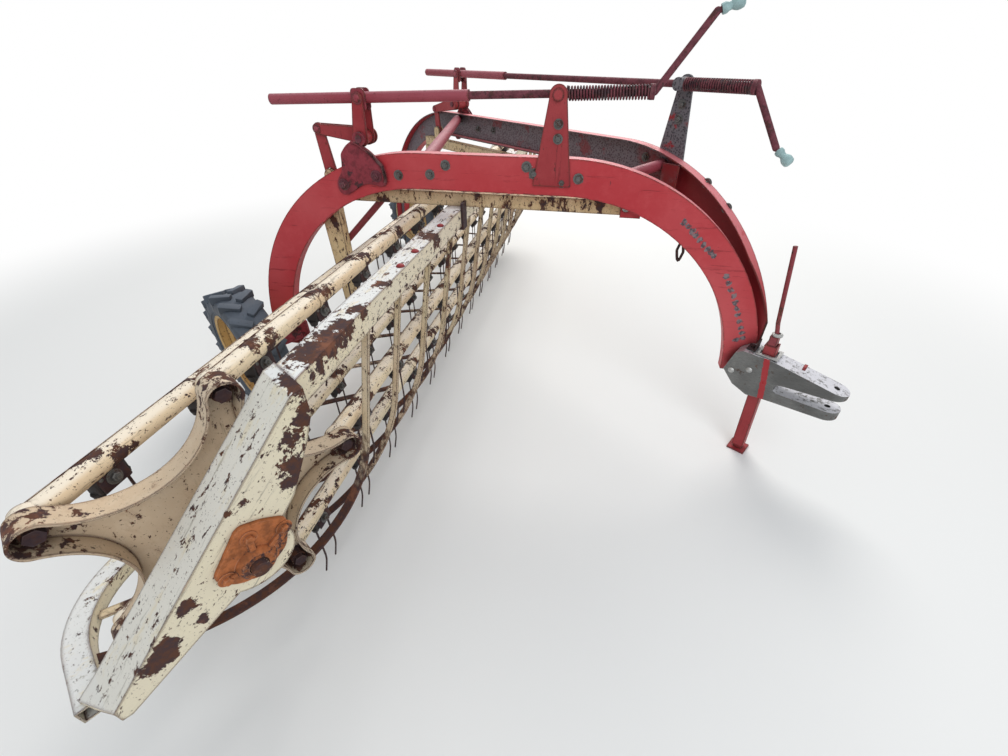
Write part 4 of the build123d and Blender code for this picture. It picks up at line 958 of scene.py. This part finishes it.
class RAKE_OT_bell_cranks(bpy.types.Operator):
    """Adds the pin heads and washers of the two bell cranks"""
    bl_idname = "rake.bell_cranks"
    bl_label = "Bell crank pins"

    def execute(self, context):
        for name, side in SIDES:
            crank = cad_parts[name + "_bell_crank"]
            bm = bmesh.new()
            for (s, z), size in zip((side.top_pin, side.rear_pin, side.pivot), CRANK_PINS):
                for way in (-1, 1):
                    hit, place, _, _ = crank.ray_cast(side.at(s + 0.004, z, 0.05 + way * 0.4), side.inward * -way)
                    if not hit:
                        continue
                    inset = (place - side.at(s, z)).dot(side.inward)
                    head = seat_on(side.at(s, z, inset), side.inward * way)
                    disc(bm, head, size * 1.25, WASHER, 24)
                    dome_bolt(bm, shifted(head, 0.0, 0.0, WASHER), size * 0.8, 0.006)
            keep(bm, name + "_crank_pins", "lift_red", name + "_bell_crank")
        return {"FINISHED"}


# Reel bearings, as (y, z) from the reel's axis, with the x of the beam's face that each one is on
FLANGE = [(-0.077, 0.018), (-0.009, 0.101), (0.003, 0.106), (0.041, 0.092), (0.079, 0.065), (0.082, 0.043),
          (0.060, -0.013), (0.005, -0.050), (-0.037, -0.038), (-0.057, -0.020)]
FLANGE_BOLTS = [(0.0066, 0.073), (0.0698, 0.0439), (-0.0572, 0.0044)]
FLANGE_THICK = 0.010
HUB_OUTLINE = [(0.0195, 0.0), (0.0195, 0.0245), (0.031, 0.0245), (0.036, 0.020), (0.041, 0.010), (0.041, 0.0),
               (0.0195, 0.0)]
RIB_START, RIB_SIZE = 0.038, 0.012
BEARINGS = ((1.045, FRONT_HEAD, 1), (-1.1666, REAR_HEAD, -1))


class RAKE_OT_bearings(bpy.types.Operator):
    """Casts the flanged bearings of the two reel heads"""
    bl_idname = "rake.bearings"
    bl_label = "Reel bearings"

    def execute(self, context):
        cast, bolts = bmesh.new(), bmesh.new()
        for face, head, way in BEARINGS:
            out = FORWARD * way
            middle = Vector((face, head.y, head.z))
            outline = rounded([middle + Vector((0.0, way * y, z)) for y, z in FLANGE], 0.014)
            slab(cast, outline, out * FLANGE_THICK, 0.003)
            centre = seat_on(middle, out)
            turned(cast, centre, HUB_OUTLINE, 32)
            for y, z in FLANGE_BOLTS:
                reach = Vector((0.0, way * y, z))
                length = reach.length - 0.042
                rib = seat(middle + out * 0.012, reach, out)
                brick(cast, rib, (length, RIB_SIZE, RIB_SIZE), 0.003, (RIB_START + length / 2, 0.0, 0.0))
                hex_bolt(bolts, seat_on(middle + reach + out * FLANGE_THICK, out), 0.017)
            nipple = shifted(centre @ Matrix.Rotation(radians(50.0), 4, "Z"), 0.030, 0.0, 0.0)
            disc(bolts, nipple, 0.0045, 0.0255, 8)
        keep(cast, "cast_bearings", "orange", "basket", ["reel_bearings"])
        keep(bolts, "bearing_bolts", "orange", "basket")
        return {"FINISHED"}


# Hitch and rails
HITCH_BOLTS = [(1.424, 0.397), (1.488, 0.428)]
HITCH_Y = 0.3777
STAND_SLOT = Vector((1.527, 0.3647, 0.5035))
# The pressed sleeve round the stand's slot, as (offset, run, size), and the angle plate behind it
SLEEVE = [(LEFTWARD * 0.034, FORWARD, (0.082, 0.014, 0.007)), (FORWARD * 0.035, LEFTWARD, (0.054, 0.012, 0.007))]
LATCH = [(Vector((-0.050, 0.0, 0.017)), (0.006, 0.050, 0.040)), (Vector((-0.066, 0.0, 0.0)), (0.032, 0.050, 0.006))]
COLLAR = [(0.0105, 0.0), (0.020, 0.0), (0.020, 0.006), (0.014, 0.010), (0.0105, 0.010), (0.0105, 0.0)]


class RAKE_OT_hitch(bpy.types.Operator):
    """Adds the hitch's bolts, the stand's sleeve, latch and collar, and the tab of the drawbar pin"""
    bl_idname = "rake.hitch"
    bl_label = "Hitch fittings"

    def execute(self, context):
        dark, light, tab, collar = (bmesh.new() for _ in range(4))
        for x, z in HITCH_BOLTS:
            for way in (-1, 1):
                place = found("hitch_fork", (x, HITCH_Y + way * PROBE, z), LEFTWARD * -way)
                dome_bolt(light, place, 0.0125, 0.008)
        for way in (-1, 1):
            for offset, run, size in SLEEVE:
                brick(light, seat(STAND_SLOT + offset * way, run, UP), size, 0.002)
        for offset, size in LATCH:
            brick(dark, seat(STAND_SLOT + offset, FORWARD, UP), size, 0.0015)
        disc(dark, seat_on(STAND_SLOT + LATCH[1][0] + UP * 0.003, UP), 0.009, 0.006, 6)
        turned(collar, seat_on(STAND_SLOT + UP * 0.082, UP), COLLAR, 20)
        brick(tab, seat((1.659, 0.345, 0.507), LEFTWARD, UP), (0.030, 0.012, 0.014), 0.002)
        keep(collar, "handle_collar", "bright", "stand")
        keep(dark, "stand_latch", "dark_rust", "frame")
        keep(light, "stand_sleeve", "bright", "frame")
        keep(tab, "pin_tab", "red", "frame")
        return {"FINISHED"}


LEFT_BOLTS = [(1.835, 1.100), (1.690, 1.107), (1.250, 1.140), (0.640, 1.110), (0.340, 1.056), (0.234, 0.983)]
POST_BOLTS = {"right": [(0.818, 1.277), (0.817, 1.232)], "left": [(0.519, 1.310), (0.520, 1.260)]}
WEB_THICK = 0.006
TUBE_ENDS = [(0.865, 0.052, 1.095), (0.865, 0.466, 1.095)]
SLOTTED_LUG = (0.355, 0.788, 0.055)


class RAKE_OT_frame_bolts(bpy.types.Operator):
    """Bolts the posts and tubes to the rails and adds the slotted lug and weld beads"""
    bl_idname = "rake.frame_bolts"
    bl_label = "Frame bolts"

    def execute(self, context):
        flats = context.scene.rake_sizes.bolt_size
        bm, lug, beads = (bmesh.new() for _ in range(3))
        for side, places in ((RIGHT, RAIL_BOLTS), (LEFT, LEFT_BOLTS)):
            for s, z in places:
                hex_bolt(bm, side.out(s, z), flats, 0.005)
                hex_bolt(bm, seat(side.at(s, z, WEB_THICK), UP, side.inward), flats, 0.010)
        for name, side in SIDES:
            for s, z in POST_BOLTS[name]:
                for way in (-1, 1):
                    place = found("lift_posts", side.at(s, z, SCREW_INSET + way * PROBE), side.inward * -way)
                    hex_bolt(bm, place, flats * 0.9)
        keep(bm, "frame_bolts", "dull", "frame")
        oblong = [LEFT.at(*SLOTTED_LUG) + LEFT.run * (0.015 * sin(a)) + UP * (0.034 * cos(a) + 0.008 * cos(3 * a))
                  for a in (2 * pi * n / 20 for n in range(21))]
        wire(lug, oblong, 0.006, 8)
        keep(lug, "slotted_lug", "dark_rust", "frame")
        for place in TUBE_ENDS:
            bead(beads, seat_on(place, LEFTWARD), 0.022, 0.0045, 24)
        keep(beads, "weld_beads", "lift_red", "frame")
        return {"FINISHED"}


BEAM_BOLTS = [(0.703, -0.754), (0.504, -0.434), (0.640, -0.652), (0.330, -0.150), (0.0, 0.380), (-0.300, 0.862)]


class RAKE_OT_basket_bolts(bpy.types.Operator):
    """Bolts the hangers, hooks and strips of the basket"""
    bl_idname = "rake.basket_bolts"
    bl_label = "Basket bolts"

    def execute(self, context):
        bm = bmesh.new()
        for x, y in BEAM_BOLTS:
            dome_bolt(bm, found("main_beam", (x, y, 1.5), -UP), 0.013, 0.008)
        keep(bm, "basket_bolts", "red", "basket")
        return {"FINISHED"}


# Stage. The camera was fitted to the photograph, and both lamps look at one point
EYE = Vector((1.776, -1.4503, 1.48))
LOOK_TURN = Vector((-0.686, 0.728, 0.0))
LOOK_DOWN = radians(36.4)
LAMPS_AT = Vector((0.0, 0.0, 0.6))
LAMP_SIZE = 5.0
LAMPS = (("key", (-2.5, 5.0, 6.5), 470.0, (1.0, 0.97, 0.93)), ("fill", (5.0, -3.0, 5.0), 170.0, (0.92, 0.96, 1.0)))
SKY, SKY_STRENGTH = (0.92, 0.96, 1.0), 0.55
WHITE = (1.0, 1.0, 1.0)
FADE_START, FADE_END = 2.7, 4.6


def floor_finish():
    """A pale matt floor that turns to the plain white backdrop away from the rake."""
    f = Finish("floor_paint")
    matt = f.node("ShaderNodeBsdfDiffuse", {"Color": (0.80, 0.80, 0.79)}).outputs["BSDF"]
    white = f.node("ShaderNodeEmission", {"Color": WHITE}).outputs["Emission"]
    far = f.step(f.vector("LENGTH", {0: f.coordinates}, "Value"), FADE_START, FADE_END)
    seen = f.times(far, f.node("ShaderNodeLightPath").outputs["Is Camera Ray"])
    f.node("ShaderNodeOutputMaterial", {"Surface": f.either(seen, matt, white)})
    return f.material


def make_world():
    # The camera and mirrors see plain white, the rest is lit by a pale sky
    world = bpy.data.worlds.new("studio")
    world.use_nodes = True
    n = Nodes(world.node_tree)
    rays = n.node("ShaderNodeLightPath").outputs
    sky = n.node("ShaderNodeBackground", {"Color": SKY, "Strength": SKY_STRENGTH}).outputs[0]
    white = n.node("ShaderNodeBackground", {"Color": WHITE}).outputs[0]
    seen = n.most(rays["Is Camera Ray"], rays["Is Glossy Ray"], rays["Is Transmission Ray"])
    n.node("ShaderNodeOutputWorld", {"Surface": n.either(seen, sky, white)})
    return world


def aimed(scene, name, data, place, look):
    holder = bpy.data.objects.new(name, data)
    scene.collection.objects.link(holder)
    holder.location = place
    holder.rotation_euler = look.to_track_quat("-Z", "Y").to_euler()
    return holder


class RAKE_OT_stage(bpy.types.Operator):
    """Puts down the floor, the lamps and the camera"""
    bl_idname = "rake.stage"
    bl_label = "Stage"

    def execute(self, context):
        scene = context.scene
        bpy.ops.mesh.primitive_plane_add(size=60.0, location=(0, 0, 0))
        floor = context.active_object
        floor.name = "floor"
        floor.data.materials.append(floor_finish())
        scene.world = make_world()
        for name, place, power, colour in LAMPS:
            lamp = bpy.data.lights.new(name, "AREA")
            lamp.shape = "DISK"
            lamp.size = LAMP_SIZE
            lamp.energy = power
            lamp.color = colour
            aimed(scene, name, lamp, place, LAMPS_AT - Vector(place))
        camera = bpy.data.cameras.new("camera")
        camera.sensor_width = 36.0
        camera.sensor_fit = "HORIZONTAL"
        camera.lens = scene.rake_sizes.lens
        camera.clip_end = 200.0
        look = LOOK_TURN.normalized() * cos(LOOK_DOWN) - UP * sin(LOOK_DOWN)
        scene.camera = aimed(scene, "camera", camera, EYE, look)
        scene.view_settings.view_transform = "Standard"
        return {"FINISHED"}


class RAKE_PT_panel(bpy.types.Panel):
    """Lists the rake's groups of pieces"""
    bl_idname = "RAKE_PT_panel"
    bl_label = "Side delivery rake"
    bl_space_type = "VIEW_3D"
    bl_region_type = "UI"
    bl_category = "Rake"

    def draw(self, context):
        for operator in OPERATORS:
            self.layout.operator(operator.bl_idname)


OPERATORS = (
    RAKE_OT_finishes, RAKE_OT_tyres, RAKE_OT_tines, RAKE_OT_bars, RAKE_OT_springs, RAKE_OT_grips, RAKE_OT_castings,
    RAKE_OT_bell_cranks, RAKE_OT_bearings, RAKE_OT_hitch, RAKE_OT_frame_bolts, RAKE_OT_basket_bolts, RAKE_OT_stage)
CLASSES = (RakeColours, RakeSizes) + OPERATORS + (RAKE_PT_panel,)


def register():
    for cls in CLASSES:
        bpy.utils.register_class(cls)
    bpy.types.Scene.rake_colours = bpy.props.PointerProperty(type=RakeColours)
    bpy.types.Scene.rake_sizes = bpy.props.PointerProperty(type=RakeSizes)


def unregister():
    del bpy.types.Scene.rake_sizes
    del bpy.types.Scene.rake_colours
    for cls in reversed(CLASSES):
        bpy.utils.unregister_class(cls)


def main():
    register()
    for operator in OPERATORS:
        group, name = operator.bl_idname.split(".")
        getattr(getattr(bpy.ops, group), name)()


if __name__ == "__main__":
    main()
